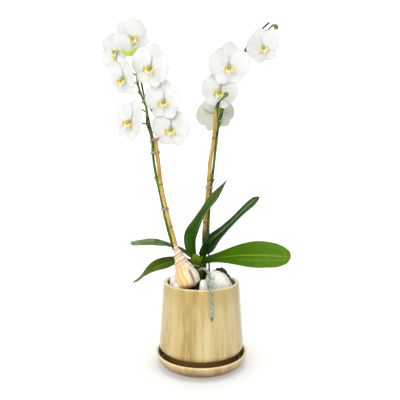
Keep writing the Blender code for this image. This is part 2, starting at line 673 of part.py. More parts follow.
OUTLINE = (  # (degrees from the right petal's axis, reach as a share of the half width)
    (0, 0.97), (15, 1.00), (30, 0.98), (45, 0.88), (60, 0.72), (75, 0.95), (90, 1.08),
    (105, 0.95), (120, 0.72), (135, 0.88), (150, 0.98), (165, 1.00), (180, 0.97),
    (195, 0.84), (210, 0.66), (225, 0.86), (237, 0.94), (252, 0.66), (270, 0.34),
    (288, 0.66), (303, 0.94), (315, 0.86), (330, 0.66), (345, 0.84),
)
PEDICEL_STEPS = 6
PEDICEL_LENGTH = 0.0160


def facing_matrix(centre, facing, roll):
    """Carries a flower's own frame (X across, Y up to the top sepal, Z out of its face) into place."""
    out = Vector(facing).normalized()
    up = (Vector((0, 0, 1)) - out * out.z).normalized()
    up.rotate(Matrix.Rotation(math.radians(roll), 3, out))
    across = up.cross(out)
    turn = Matrix((across, up, out)).transposed().to_4x4()
    return Matrix.Translation(Vector(centre)) @ turn


def tepal_point(angle, reach, flower, offset):
    """A point on the cupped face of a flower, at a share of the outline's reach."""
    degrees, outer = angle
    spread = reach * outer * flower.half_width
    lift = flower.cup * flower.half_width * (reach * outer) ** 2
    a = math.radians(degrees)
    return Vector((spread * math.cos(a), spread * math.sin(a), lift + offset))


def leave_spike(route, height, toward, radius):
    """Where a side stalk starts, clear of the spike, with its way out and the spike's direction."""
    join, along = nearest_on(route, height)
    leave = (toward - join) - along * (toward - join).dot(along)
    leave.normalize()
    return join + leave * (SPIKE_RADIUS + LANE_GAP + radius), leave, along


def make_flower(flower, spike_route, finish, lip_finish, plant):
    """The five white tepals and their stalk as one solid, and the lip with the column as another."""
    rings = []
    for side, reaches in ((1, (0.20, 1.0)), (-1, (1.0, 0.20))):
        for reach in reaches:
            offset = side * TEPAL_THICKNESS / 2 * (1.6 - reach)
            rings.append([tepal_point(angle, reach, flower, offset) for angle in OUTLINE])
    place = facing_matrix(flower.centre, flower.facing, flower.roll)
    tepals = add_object("tepals_" + flower.name, loft("tepals", rings), finish, plant)
    tepals.matrix_local = place

    centre, out = Vector(flower.centre), Vector(flower.facing).normalized()
    behind = centre - out * PEDICEL_LENGTH
    start, leave, along = leave_spike(spike_route, flower.attach, behind, PEDICEL_RADIUS)
    bend = start + leave * 0.006 + along * 0.002
    route = catmull([start, bend, behind, centre - out * TEPAL_THICKNESS / 6], PEDICEL_STEPS)
    radii = taper(len(route), PEDICEL_RADIUS, 1.25 * PEDICEL_RADIUS)
    stalk = helper("stalk_" + flower.name, tube("stalk", route, radii, THIN_SIDES), plant)
    boolean(tepals, stalk, "UNION")

    scale = flower.half_width
    lip_rings = []
    for depth, wide, tall, drop in LIP_SECTIONS:
        lip_rings.append([
            Vector((wide * scale * math.cos(a), -drop * scale + tall * scale * math.sin(a), depth * scale))
            for a in (math.tau * k / 8 for k in range(8))
        ])
    lip = add_object("lip_" + flower.name, loft("lip", lip_rings), lip_finish, plant)
    lip.matrix_local = place @ Matrix.Translation((0, 0, TEPAL_THICKNESS + TOUCH_GAP))
    return tepals


LIP_SECTIONS = (  # (forward of the face, half width, half height, drop), as shares of the half width
    (0.00, 0.06, 0.06, 0.02), (0.12, 0.19, 0.16, 0.08), (0.26, 0.20, 0.20, 0.16),
    (0.38, 0.14, 0.17, 0.26), (0.46, 0.05, 0.06, 0.34),
)


@dataclass
class Bud:
    """A closed bud on its own stalk; one that names a spike height starts beside the spike."""

    name: str
    finish: str
    spike_height: float
    route: tuple
    radii: tuple


STAKE_FRONT = LANES["right"][1] - STAKE_RADIUS
BUDS = (
    Bud("bud_right_tip", "bud", 0.0,
        ((0.1242, 0.0120, 0.4755), (0.1280, 0.0115, 0.4795), (0.1325, 0.0108, 0.4822),
         (0.1365, 0.0102, 0.4812), (0.1380, 0.0098, 0.4775), (0.1383, 0.0096, 0.4745)),
        (0.0013, 0.0014, 0.0020, 0.0038, 0.0042, 0.0020)),
    Bud("bud_right_low", "bud", 0.3000,
        tuple((STAKE_RADIUS + x, STAKE_FRONT - y, z) for x, y, z in (
            (0.0266, 0.0000, 0.3160), (0.0256, 0.0120, 0.3325), (0.0295, 0.0230, 0.3385),
            (0.0360, 0.0345, 0.3425), (0.0394, 0.0385, 0.3470), (0.0408, 0.0398, 0.3505))),
        (0.0012, 0.0013, 0.0030, 0.0014, 0.0020, 0.0046, 0.0024)),
    Bud("bud_left_lime", "lime_bud", 0.0,
        ((-0.1350, -0.0440, 0.4190), (-0.1300, -0.0460, 0.4135), (-0.1240, -0.0475, 0.4110),
         (-0.1180, -0.0470, 0.4130), (-0.1130, -0.0460, 0.4190), (-0.1118, -0.0455, 0.4255)),
        (0.0018, 0.0036, 0.0044, 0.0043, 0.0032, 0.0010)),
)


def make_bud(bud, spike_route, finish, plant):
    """A bud and its stalk as one closed body."""
    points = [Vector(point) for point in bud.route]
    if bud.spike_height:
        start, _, _ = leave_spike(spike_route, bud.spike_height, points[0], bud.radii[0])
        points.insert(0, start)
    steps = 2 * (len(points) - 1)
    route = catmull(points, steps)
    radii = [v.x for v in catmull([(r, 0.0, 0.0) for r in bud.radii], steps)]
    return add_object(bud.name, tube(bud.name, route, radii), finish, plant)


# ---------------------------------------------------------------- the whole object
CLIPS = (
    ("clip_left_top", "left", 0.3395, ("spike", "wire")),
    ("clip_left_stake_top", "left", 0.2690, ("spike", "stake", "wire")),
    ("clip_left_mid", "left", 0.2460, ("spike", "stake", "wire")),
    ("clip_left_low", "left", 0.1440, ("spike", "stake", "wire")),
    ("clip_right_top", "right", 0.3080, ("spike", "wire")),
    ("clip_right_low", "right", 0.1830, ("spike", "stake", "wire")),
)


def main():
    """Builds every piece, in the order that a grower would put them together."""
    clear_scene()
    finish = finishes()
    plant = bpy.data.objects.new("plant_origin", None)
    bpy.context.scene.collection.objects.link(plant)
    plant.location.z = BARK_TOP

    make_saucer(finish["glaze"])
    _, inside_floor = make_pot(finish["glaze"])
    bark = make_bark(finish["bark"], inside_floor)
    for lump in LUMPS:
        make_lump(lump, finish[lump.finish])
    for shell in SPIRAL_SHELLS:
        make_spiral_shell(shell, finish[shell.finish], plant)

    make_stem(finish["stem"], plant)
    make_roots(finish["root"], finish["dry_root"], plant)
    for leaf in LEAVES:
        make_leaf(leaf, finish["leaf"], plant)

    routes = {
        side: {piece: (bundle_route(side, piece), radius) for piece, radius in RADII.items()}
        for side in LANES
    }
    for side, group in routes.items():
        make_spike(side, group["spike"][0], finish["spike"], plant)
        stake, wire = group["stake"][0], group["wire"][0]
        stake_mesh = tube("stake", stake, taper(len(stake), STAKE_RADIUS, 0.9 * STAKE_RADIUS))
        add_object("bamboo_stake_" + side, stake_mesh, finish["bamboo"], plant)
        wire_mesh = tube("wire", wire, [WIRE_RADIUS] * len(wire), THIN_SIDES)
        add_object("support_wire_" + side, wire_mesh, finish["wire"], plant)
        for piece in ("stake", "wire"):
            route, radius = group[piece]
            socket = tube("socket", route, [radius + TOUCH_GAP] * len(route))
            boolean(bark, helper(f"socket_{piece}_{side}", socket, plant), "DIFFERENCE")
    x, y = STEM_CENTRE
    reach = [Vector((x, y, -STEM_DEPTH - TOUCH_GAP)), Vector((x, y, STEM_DEPTH))]
    stem_socket = tube("socket", reach, [STEM_RADIUS + TOUCH_GAP] * 2, 12)
    boolean(bark, helper("socket_stem", stem_socket, plant), "DIFFERENCE")

    for name, side, height, tied in CLIPS:
        make_clip(name, height, [routes[side][piece] for piece in tied], finish["clip"], plant)
    for flower in FLOWERS:
        make_flower(flower, routes[flower.spike]["spike"][0], finish["tepal"], finish["lip"], plant)
    for bud in BUDS:
        make_bud(bud, routes["right"]["spike"][0], finish[bud.finish], plant)


main()
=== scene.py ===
"""Potted moth orchid: two flower spikes on bamboo stakes, in a glazed pot that stands on its saucer.

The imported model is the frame. Units are metres and +Z is up; most flowers face -Y. Plant points are
measured from the centre of the bark's surface, and each class turns its own table of points into meshes.
"""

import sys
import logging
import math
import random
from dataclasses import dataclass
from enum import Enum

import bmesh
import bpy
from mathutils import Matrix, Vector, noise


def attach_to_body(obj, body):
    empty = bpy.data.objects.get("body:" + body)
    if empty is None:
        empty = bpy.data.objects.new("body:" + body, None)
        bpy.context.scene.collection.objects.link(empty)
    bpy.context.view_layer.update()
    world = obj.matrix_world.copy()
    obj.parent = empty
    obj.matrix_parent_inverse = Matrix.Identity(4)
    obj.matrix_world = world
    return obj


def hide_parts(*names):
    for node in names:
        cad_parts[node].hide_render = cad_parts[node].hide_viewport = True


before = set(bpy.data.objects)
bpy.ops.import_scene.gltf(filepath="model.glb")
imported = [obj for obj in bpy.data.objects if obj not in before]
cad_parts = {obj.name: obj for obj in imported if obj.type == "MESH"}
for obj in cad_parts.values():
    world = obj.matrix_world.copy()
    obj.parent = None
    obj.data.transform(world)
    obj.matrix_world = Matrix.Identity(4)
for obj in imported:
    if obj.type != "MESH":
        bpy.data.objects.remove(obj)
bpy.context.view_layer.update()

log = logging.getLogger("orchid")

Point = tuple[float, float, float]
Colour = tuple[float, float, float]


# ---------------------------------------------------------------- node maths
class Sock:
    """A socket that Python's arithmetic works on, in a shader tree or a geometry tree."""

    def __init__(self, net: "Net", socket: bpy.types.NodeSocket) -> None:
        """Wraps a socket of a tree."""
        self.net = net
        self.socket = socket

    def _math(self, operation: str, *values: "Sock | float") -> "Sock":
        """Adds one Math node.

        Args:
            operation: the Math node's operation.
            values: its inputs in order.

        Returns:
            The node's result.
        """
        return self.net.add("ShaderNodeMath", {"operation": operation}, dict(enumerate(values)))

    def __add__(self, other: "Sock | float") -> "Sock":
        """self + other."""
        return self._math("ADD", self, other)

    def __radd__(self, other: float) -> "Sock":
        """other + self."""
        return self._math("ADD", other, self)

    def __sub__(self, other: "Sock | float") -> "Sock":
        """self - other."""
        return self._math("SUBTRACT", self, other)

    def __rsub__(self, other: float) -> "Sock":
        """other - self."""
        return self._math("SUBTRACT", other, self)

    def __mul__(self, other: "Sock | float") -> "Sock":
        """self * other."""
        return self._math("MULTIPLY", self, other)

    def __rmul__(self, other: float) -> "Sock":
        """other * self."""
        return self._math("MULTIPLY", other, self)

    def __truediv__(self, other: "Sock | float") -> "Sock":
        """self / other."""
        return self._math("DIVIDE", self, other)

    def __pow__(self, other: float) -> "Sock":
        """self to a power."""
        return self._math("POWER", self, other)

    def __abs__(self) -> "Sock":
        """The size without its sign."""
        return self._math("ABSOLUTE", self)

    def sin(self) -> "Sock":
        """The sine of an angle in radians."""
        return self._math("SINE", self)

    def cos(self) -> "Sock":
        """The cosine of an angle in radians."""
        return self._math("COSINE", self)

    def fraction(self) -> "Sock":
        """What is left above the whole number."""
        return self._math("FRACT", self)

    def at_most(self, other: "Sock | float") -> "Sock":
        """The smaller of the two."""
        return self._math("MINIMUM", self, other)

    def step(self, low: float, high: float, bottom: float = 0.0, top: float = 1.0) -> "Sock":
        """Eases from bottom to top as the value passes from low to high.

        Args:
            low: where the change starts.
            high: where it ends.
            bottom: the result below low.
            top: the result above high.

        Returns:
            The eased value.
        """
        values = {0: self, 1: low, 2: high, 3: bottom, 4: top}
        return self.net.add("ShaderNodeMapRange", {"interpolation_type": "SMOOTHSTEP"}, values)


class Net:
    """A node tree, and the one way to add any node to it."""

    def __init__(self, tree: bpy.types.NodeTree) -> None:
        """Keeps the tree that nodes are added to."""
        self.tree = tree

    def add(
        self, kind: str, settings: dict | None = None, values: dict | None = None, out: int | str = 0
    ) -> Sock:
        """Adds a node.

        Args:
            kind: the node's type.
            settings: its properties, set first; "stops" holds a ramp's (place, colour) pairs.
            values: its inputs by name or number, each a number, a colour or a Sock.
            out: which output is wanted.

        Returns:
            That output.
        """
        node = self.tree.nodes.new(kind)
        for key, value in (settings or {}).items():
            if key == "stops":
                self._stops(node.color_ramp, value)
            else:
                setattr(node, key, value)
        for key, value in (values or {}).items():
            self.feed(node.inputs[key], value)
        return Sock(self, node.outputs[out])

    @staticmethod
    def _stops(ramp: bpy.types.ColorRamp, stops: tuple) -> None:
        """Sets a ramp's stops from (place, colour) pairs."""
        while len(ramp.elements) < len(stops):
            ramp.elements.new(1.0)
        for element, (place, colour) in zip(ramp.elements, stops):
            element.position = place
            element.color = (*colour, 1.0)

    def feed(self, socket: bpy.types.NodeSocket, value: object) -> None:
        """Links a Sock to an input, or sets the input to a constant."""
        if isinstance(value, Sock):
            self.tree.links.new(value.socket, socket)
        elif isinstance(value, tuple) and socket.type == "RGBA":
            socket.default_value = (*value, 1.0)
        else:
            socket.default_value = value


class Paint(Net):
    """The node tree of one material, with the patterns that several finishes share."""

    def __init__(self, name: str, **constants: object) -> None:
        """Starts a material.

        Args:
            name: the material's name.
            constants: sockets of the Principled shader that hold one value, with _ for each space.
        """
        self.material = bpy.data.materials.new(name)
        self.material.use_nodes = True
        super().__init__(self.material.node_tree)
        self.shader = self.tree.nodes["Principled BSDF"]
        for key, value in constants.items():
            self.feed(self.shader.inputs[key.replace("_", " ")], value)

    def place(self, scale: Point = (1.0, 1.0, 1.0)) -> Sock:
        """Object coordinates, stretched along each axis."""
        source = self.add("ShaderNodeTexCoord", out="Object")
        return self.add("ShaderNodeVectorMath", {"operation": "MULTIPLY"}, {0: source, 1: scale})

    def axis(self, which: str) -> Sock:
        """One of the object coordinates: X, Y or Z."""
        source = self.add("ShaderNodeTexCoord", out="Object")
        return self.add("ShaderNodeSeparateXYZ", None, {0: source}, which)

    def uv(self, which: str) -> Sock:
        """One of the piece's own surface coordinates: X across it, Y along it."""
        source = self.add("ShaderNodeUVMap", {"uv_map": "UVMap"})
        return self.add("ShaderNodeSeparateXYZ", None, {0: source}, which)

    def tint(self) -> Sock:
        """The colour that a piece carries at each point."""
        return self.add("ShaderNodeAttribute", {"attribute_name": "tint"}, out="Color")

    def noise(
        self, scale: float, detail: float = 3.0, stretch: Point = (1.0, 1.0, 1.0), uneven: float = 0.0
    ) -> Sock:
        """Soft noise over the object.

        Args:
            scale: how fine it is, in turns a metre.
            detail: how many finer layers are added.
            stretch: how much finer it is along each axis.
            uneven: how far it is warped.

        Returns:
            A value about one half.
        """
        values = {"Vector": self.place(stretch), "Scale": scale, "Detail": detail, "Distortion": uneven}
        return self.add("ShaderNodeTexNoise", None, values)

    def mix(self, factor: Sock, first: Sock | Colour, second: Sock | Colour, blend: str = "MIX") -> Sock:
        """Goes from one colour to another.

        Args:
            factor: 0 for the first and 1 for the second.
            first: the colour at 0.
            second: the colour at 1.
            blend: how the second is laid on the first.

        Returns:
            The mixed colour.
        """
        settings = {"data_type": "RGBA", "blend_type": blend}
        return self.add("ShaderNodeMix", settings, {0: factor, 6: first, 7: second}, 2)

    def ramp(self, value: Sock, *stops: tuple[float, Colour]) -> Sock:
        """A colour for each value, through the given stops."""
        return self.add("ShaderNodeValToRGB", {"stops": stops}, {0: value})

    def bump(self, height: Sock, distance: float, strength: float = 1.0) -> None:
        """Raises the surface.

        Args:
            height: 0 for low and 1 for high.
            distance: how much higher 1 stands, in metres.
            strength: how much of it shows.
        """
        values = {"Strength": strength, "Distance": distance, "Height": height}
        self.feed(self.shader.inputs["Normal"], self.add("ShaderNodeBump", None, values))

    def finish(self, colour: Sock | None = None, roughness: Sock | None = None) -> bpy.types.Material:
        """Links the colour and roughness and gives the material."""
        if colour is not None:
            self.feed(self.shader.inputs["Base Color"], colour)
        if roughness is not None:
            self.feed(self.shader.inputs["Roughness"], roughness)
        return self.material


# ---------------------------------------------------------------- finishes
@dataclass(frozen=True)
class Glaze:
    """Poured glaze: soft upright streaks, a pale rim and a darker band at the foot, which is painted shade.
    """

    name: str
    rim_z: float
    rim: Colour
    rim_depth: float
    foot_shade_z: float
    foot_shade_fade: float
    pale: Colour = (0.73, 0.6, 0.32)
    middle: Colour = (0.64, 0.495, 0.22)
    deep: Colour = (0.43, 0.285, 0.08)
    top_tone: Colour = (0.5, 0.345, 0.085)
    # foot: the colour of the painted shade at the foot
    foot: Colour = (0.15, 0.07, 0.016)

    def make(self) -> bpy.types.Material:
        """Builds the glaze."""
        paint = Paint(self.name, Coat_Weight=0.14, Coat_Roughness=0.06, Specular_IOR_Level=0.2)
        height = paint.axis("Z")
        runs = paint.noise(95.0, 4.0, (1.0, 1.0, 0.1), 0.6)
        broad = paint.noise(26.0, 2.0, (1.0, 1.0, 0.22), 0.3)
        colour = paint.ramp((runs * 0.42 + broad * 0.58).step(0.3, 0.7), (0.0, self.deep),
                            (0.45, self.middle), (1.0, self.pale))
        drips = paint.noise(260.0, 2.0, (1.0, 1.0, 0.03), 0.4).step(0.6, 0.72)
        colour = paint.mix(drips * 0.3, colour, self.deep)
        pools = paint.noise(130.0, 2.0, (1.0, 1.0, 0.06), 0.4).step(0.56, 0.72) * height.step(0.125, 0.055)
        colour = paint.mix(pools * 0.45, colour, (0.8, 0.69, 0.44))
        specks = paint.noise(900.0, 1.0).step(0.7, 0.78)
        colour = paint.mix(specks * 0.45, colour, (0.2, 0.12, 0.05))
        edge = height + (runs - 0.5) * 0.004
        upper = height.step(self.rim_z - 0.045, self.rim_z - 0.01) * 0.45
        colour = paint.mix(upper, colour, self.top_tone)
        rim = edge.step(self.rim_z - self.rim_depth, self.rim_z - 0.15 * self.rim_depth)
        colour = paint.mix(rim, colour, self.rim)
        # painted shade: darkens the glaze towards its foot, and over the saucer's floor
        low = height + (runs - 0.5) * 0.5 * self.foot_shade_fade
        foot = low.step(self.foot_shade_z, self.foot_shade_z + self.foot_shade_fade, 1.0, 0.0)
        colour = paint.mix(foot * 0.92, colour, self.foot)
        paint.bump(runs * 0.6 + paint.noise(240.0, 2.0) * 0.4, 0.00035, 0.5)
        return paint.finish(colour, runs * 0.1 + 0.11 + foot * 0.2)


@dataclass(frozen=True)
class Bark:
    """Damp potting bark: nearly black, with brown and grey fibres and a crumbly face."""

    name: str
    dark: Colour = (0.012, 0.008, 0.005)
    middle: Colour = (0.055, 0.032, 0.017)
    pale: Colour = (0.17, 0.115, 0.07)

    def make(self) -> bpy.types.Material:
        """Builds the bark."""
        paint = Paint(self.name, Specular_IOR_Level=0.35)
        fibre = paint.noise(700.0, 5.0, (0.35, 1.0, 1.0), 1.2)
        patch = paint.noise(120.0, 2.0)
        colour = paint.ramp((fibre * 0.55 + patch * 0.45).step(0.34, 0.72), (0.0, self.dark),
                            (0.55, self.middle), (1.0, self.pale))
        paint.bump(fibre, 0.0009, 0.8)
        return paint.finish(colour, patch * 0.3 + 0.62)


@dataclass(frozen=True)
class Moss:
    """Dark olive moss, browner where it has dried."""

    name: str
    dark: Colour = (0.014, 0.014, 0.005)
    green: Colour = (0.07, 0.072, 0.016)
    dry: Colour = (0.12, 0.082, 0.03)

    def make(self) -> bpy.types.Material:
        """Builds the moss."""
        paint = Paint(self.name, Specular_IOR_Level=0.25, Sheen_Weight=0.25, Roughness=0.85)
        grain = paint.noise(820.0, 4.0)
        patch = paint.noise(150.0, 3.0, uneven=0.6)
        colour = paint.ramp((grain * 0.5 + patch * 0.5).step(0.36, 0.7), (0.0, self.dark),
                            (0.55, self.green), (1.0, self.dry))
        paint.bump(grain, 0.0012, 0.9)
        return paint.finish(colour)


@dataclass(frozen=True)
class Shell:
    """Sea shell: pearly white, with coloured bands and flames where the tint says."""

    name: str
    base: Colour = (0.95, 0.93, 0.87)
    stain: Colour = (0.66, 0.5, 0.32)
    stain_reach: float = 0.64

    def make(self) -> bpy.types.Material:
        """Builds the shell."""
        paint = Paint(self.name, Coat_Weight=0.25, Coat_Roughness=0.18, Specular_IOR_Level=0.5)
        growth = paint.noise(420.0, 3.0, (1.0, 1.0, 0.4), 0.8)
        patch = paint.noise(85.0, 3.0, uneven=0.7)
        colour = paint.mix(patch.step(self.stain_reach, self.stain_reach + 0.1), self.base, self.stain)
        colour = paint.mix(growth.step(0.45, 0.75), colour, (0.95, 0.93, 0.9), "MULTIPLY")
        colour = paint.add("ShaderNodeMix", {"data_type": "RGBA", "blend_type": "MULTIPLY"},
                           {0: 1.0, 6: colour, 7: paint.tint()}, 2)
        paint.bump(growth, 0.0004, 0.5)
        return paint.finish(colour, growth * 0.2 + 0.26)


@dataclass(frozen=True)
class LeafSkin:
    """A thick glossy leaf: darker towards its base, fine long veins, a pale midrib, bloom with painted
    sheen, a painted highlight.

    The tint's red is 1 on the underside, which pales towards the tip.
    """

    name: str
    young: Colour = (0.095, 0.215, 0.004)
    old: Colour = (0.022, 0.08, 0.003)
    base: Colour = (0.012, 0.034, 0.003)
    under: Colour = (0.04, 0.1, 0.001)
    under_tip: Colour = (0.085, 0.15, 0.01)
    midrib: Colour = (0.2, 0.33, 0.02)
    # the pale colour of waxy bloom, which also serves as painted sheen and as the painted highlight
    bloom_and_sheen: Colour = (0.24, 0.32, 0.03)
    bloom_and_sheen_amount: float = 0.08
    midrib_amount: float = 0.75
    # gleam: where the painted highlight band lies across the leaf; gleam_amount: how strong it is
    gleam: float = 0.3
    gleam_amount: float = 0.0

    def make(self) -> bpy.types.Material:
        """Builds the leaf's skin."""
        paint = Paint(self.name, Coat_Weight=0.09, Coat_Roughness=0.09, Specular_IOR_Level=0.015)
        across, along = paint.uv("X"), paint.uv("Y")
        veins = (across * 150.0).sin() * 0.5 + 0.5
        mottle = paint.noise(60.0, 4.0, uneven=0.5)
        fine = paint.noise(520.0, 3.0)
        tone = along * 0.75 + mottle * 0.5 - 0.25
        colour = paint.mix(tone.step(0.15, 0.85), self.old, self.young)
        colour = paint.mix(along.step(0.02, 0.26, 1.0, 0.0), colour, self.base)
        colour = paint.mix(veins * 0.08 + fine * 0.06, colour, self.midrib)
        off_centre = abs(across - 0.5)
        rib = off_centre.step(0.012, 0.055, 1.0, 0.0) * along.step(0.05, 0.25)
        colour = paint.mix(rib * self.midrib_amount, colour, self.midrib)
        split = paint.add("ShaderNodeSeparateColor", None, {0: paint.tint()}, "Red")
        below = paint.mix((along + mottle * 0.3 - 0.15).step(0.3, 0.95), self.under, self.under_tip)
        colour = paint.mix(split * 0.92, colour, below)
        # painted highlight: a pale glossy band along the leaf, beside the midrib
        painted_gleam_band = abs(across - self.gleam).step(0.0, 0.11, 1.0, 0.0)
        painted_gleam_band = painted_gleam_band * along.step(0.22, 0.5) * along.step(0.99, 0.8)
        colour = paint.mix(painted_gleam_band * (mottle * 0.8 + 0.5) * self.gleam_amount, colour, self.bloom_and_sheen)
        rim = off_centre.step(0.455, 0.5)
        colour = paint.mix(rim * 0.25, colour, self.midrib)
        # pale patches of waxy bloom that also paint sheen onto the leaf
        dust_and_sheen = mottle.step(0.4, 0.72) * off_centre.step(0.05, 0.4) * along.step(0.95, 0.35, 0.3, 1.0)
        colour = paint.mix(dust_and_sheen * self.bloom_and_sheen_amount, colour, self.bloom_and_sheen)
        paint.bump(veins * 0.5 + mottle * 0.5, 0.0005, 0.45)
        return paint.finish(colour, mottle * 0.22 + 0.26)


@dataclass(frozen=True)
class Stalk:
    """A green stalk, blotched with purple brown, and paler where the joint value is high."""

    name: str
    green: Colour = (0.07, 0.185, 0.003)
    blush: Colour = (0.022, 0.04, 0.004)
    joint: Colour = (0.22, 0.33, 0.016)
    blush_from: float = 0.52

    def make(self) -> bpy.types.Material:
        """Builds the stalk's skin."""
        paint = Paint(self.name, Coat_Weight=0.05, Coat_Roughness=0.12, Specular_IOR_Level=0.08)
        long_grain = paint.noise(420.0, 3.0, (1.0, 1.0, 0.12))
        patch = paint.noise(70.0, 3.0, uneven=0.8)
        colour = paint.mix(patch.step(self.blush_from, self.blush_from + 0.18), self.green, self.blush)
        colour = paint.mix(long_grain.step(0.5, 0.8) * 0.35, colour, self.joint)
        joint = paint.add("ShaderNodeAttribute", {"attribute_name": "joint"}, out="Fac")
        colour = paint.mix(joint.at_most(1.0) * 0.8, colour, self.joint)
        paint.bump(long_grain, 0.0003, 0.5)
        return paint.finish(colour, patch * 0.2 + 0.28)


@dataclass(frozen=True)
class Bamboo:
    """Varnished split bamboo: straw with long fibres, a darker ring below each joint, and painted shade
    near its foot.
    """

    name: str
    straw: Colour = (0.76, 0.51, 0.15)
    amber: Colour = (0.42, 0.235, 0.042)
    ring: Colour = (0.11, 0.052, 0.012)
    # painted shade: the near-black colour of the stake's lower part, up to the given height
    painted_shade: Colour = (0.022, 0.014, 0.007)
    painted_shade_to: float = 0.228

    def make(self) -> bpy.types.Material:
        """Builds the bamboo."""
        paint = Paint(self.name, Coat_Weight=0.2, Coat_Roughness=0.15, Specular_IOR_Level=0.3)
        fibres = paint.noise(900.0, 4.0, (1.0, 1.0, 0.035))
        patch = paint.noise(45.0, 3.0, (1.0, 1.0, 0.5), 0.6)
        colour = paint.mix((fibres * 0.5 + patch * 0.5).step(0.38, 0.68), self.amber, self.straw)
        joint = paint.add("ShaderNodeAttribute", {"attribute_name": "joint"}, out="Fac")
        colour = paint.mix(joint.step(0.25, 0.9) * 0.75, colour, self.ring)
        # painted shade: the stake turns near black below a given height
        painted_shade_mask = (paint.axis("Z") + patch * 0.02).step(self.painted_shade_to - 0.03, self.painted_shade_to, 0.95, 0.0)
        colour = paint.mix(painted_shade_mask, colour, self.painted_shade)
        paint.bump(fibres, 0.0003, 0.5)
        return paint.finish(colour, fibres * 0.2 + 0.2)


@dataclass(frozen=True)
class Coated:
    """Soft plastic over wire, or a moulded clip: one tone with faint scuffs."""

    name: str
    tone: Colour
    scuff: Colour
    shine: float = 0.38

    def make(self) -> bpy.types.Material:
        """Builds the plastic."""
        paint = Paint(self.name, Specular_IOR_Level=0.45)
        scuffs = paint.noise(380.0, 4.0, (1.0, 1.0, 0.4), 0.5)
        colour = paint.mix(scuffs.step(0.45, 0.75), self.tone, self.scuff)
        paint.bump(scuffs, 0.0002, 0.4)
        return paint.finish(colour, scuffs * 0.25 + self.shine - 0.1)


@dataclass(frozen=True)
class RootSkin:
    """Papery root: silver over green, with the growing tip or the dry end browner."""

    name: str
    silver: Colour = (0.5, 0.58, 0.5)
    green: Colour = (0.17, 0.24, 0.11)
    tip: Colour = (0.14, 0.08, 0.03)
    tip_from: float = 0.9

    def make(self) -> bpy.types.Material:
        """Builds the root's skin."""
        paint = Paint(self.name, Specular_IOR_Level=0.3)
        papery = paint.noise(360.0, 4.0, (1.0, 1.0, 0.5), 0.5)
        colour = paint.mix(papery.step(0.38, 0.66), self.green, self.silver)
        colour = paint.mix(paint.uv("Y").step(self.tip_from, self.tip_from + 0.08), colour, self.tip)
        paint.bump(papery, 0.0005, 0.7)
        return paint.finish(colour, papery * 0.2 + 0.48)


@dataclass(frozen=True)
class Petal:
    """White petal: crystalline, with faint fan veins, a green throat at its base and painted shade at its
    edges and tip.
    """

    name: str
    white: Colour = (0.86, 0.86, 0.848)
    # vein: the grey of the veins, also the colour of the painted shade at the edges
    vein: Colour = (0.56, 0.575, 0.545)
    throat: Colour = (0.4, 0.44, 0.06)
    back: Colour = (0.58, 0.59, 0.48)

    def make(self) -> bpy.types.Material:
        """Builds the petal."""
        paint = Paint(self.name, Specular_IOR_Level=0.3, Sheen_Weight=0.12, Sheen_Roughness=0.5)
        across, along = paint.uv("X"), paint.uv("Y")
        wander = paint.noise(90.0, 3.0)
        fan = ((across + (wander - 0.5) * 0.05) * 74.0).sin() * 0.5 + 0.5
        vein = (fan ** 5.0) * along.step(0.06, 0.95, 1.0, 0.15)
        colour = paint.mix(vein * 0.42, self.white, self.vein)
        soft = paint.noise(38.0, 2.0).step(0.4, 0.75)
        colour = paint.mix(soft * 0.36, colour, self.vein)
        under = paint.add("ShaderNodeSeparateColor", None, {0: paint.tint()}, "Red")
        colour = paint.mix(under * 0.8, colour, self.back)
        # painted shade: greys the petal towards its edges and its tip
        rim = (abs(across * 2.0 - 1.0) ** 6.0) * 0.3 + along.step(0.9, 1.0) * 0.25
        colour = paint.mix(rim, colour, self.vein)
        colour = paint.mix(along.step(0.02, 0.09, 0.4, 0.0), colour, self.throat)
        crystal = paint.noise(1500.0, 2.0)
        paint.bump(fan * 0.7 + crystal * 0.3, 0.00035, 0.55)
        return paint.finish(colour, crystal * 0.15 + 0.42)


@dataclass(frozen=True)
class LipSkin:
    """The lip and column: each part carries its own tint, and the throat is freckled."""

    name: str
    freckle: Colour = (0.17, 0.045, 0.035)

    def make(self) -> bpy.types.Material:
        """Builds the lip's skin; the tint's alpha says how freckled each part is."""
        paint = Paint(self.name, Coat_Weight=0.15, Coat_Roughness=0.25, Specular_IOR_Level=0.4)
        tint = paint.tint()
        freckled = paint.add("ShaderNodeAttribute", {"attribute_name": "tint"}, out="Alpha")
        cells = paint.add("ShaderNodeTexVoronoi", None, {"Vector": paint.place(), "Scale": 900.0})
        spots = cells.step(0.2, 0.36, 1.0, 0.0) * freckled
        shade = paint.noise(300.0, 3.0)
        colour = paint.mix(shade.step(0.35, 0.75) * 0.35, tint, (0.93, 0.86, 0.8), "MULTIPLY")
        colour = paint.mix(spots, colour, self.freckle)
        paint.bump(shade, 0.0003, 0.4)
        return paint.finish(colour, shade * 0.2 + 0.28)


@dataclass(frozen=True)
class BudSkin:
    """A waxy bud, blushed along its seams."""

    name: str
    tone: Colour
    blush: Colour

    def make(self) -> bpy.types.Material:
        """Builds the bud's skin."""
        paint = Paint(self.name, Coat_Weight=0.2, Coat_Roughness=0.2, Specular_IOR_Level=0.45)
        patch = paint.noise(190.0, 3.0, uneven=0.7)
        seams = (paint.uv("X") * 18.85).sin() * 0.5 + 0.5
        colour = paint.mix((patch * 0.6 + seams * 0.4).step(0.42, 0.74), self.tone, self.blush)
        paint.bump(seams * 0.6 + patch * 0.4, 0.0005, 0.5)
        return paint.finish(colour, patch * 0.2 + 0.3)


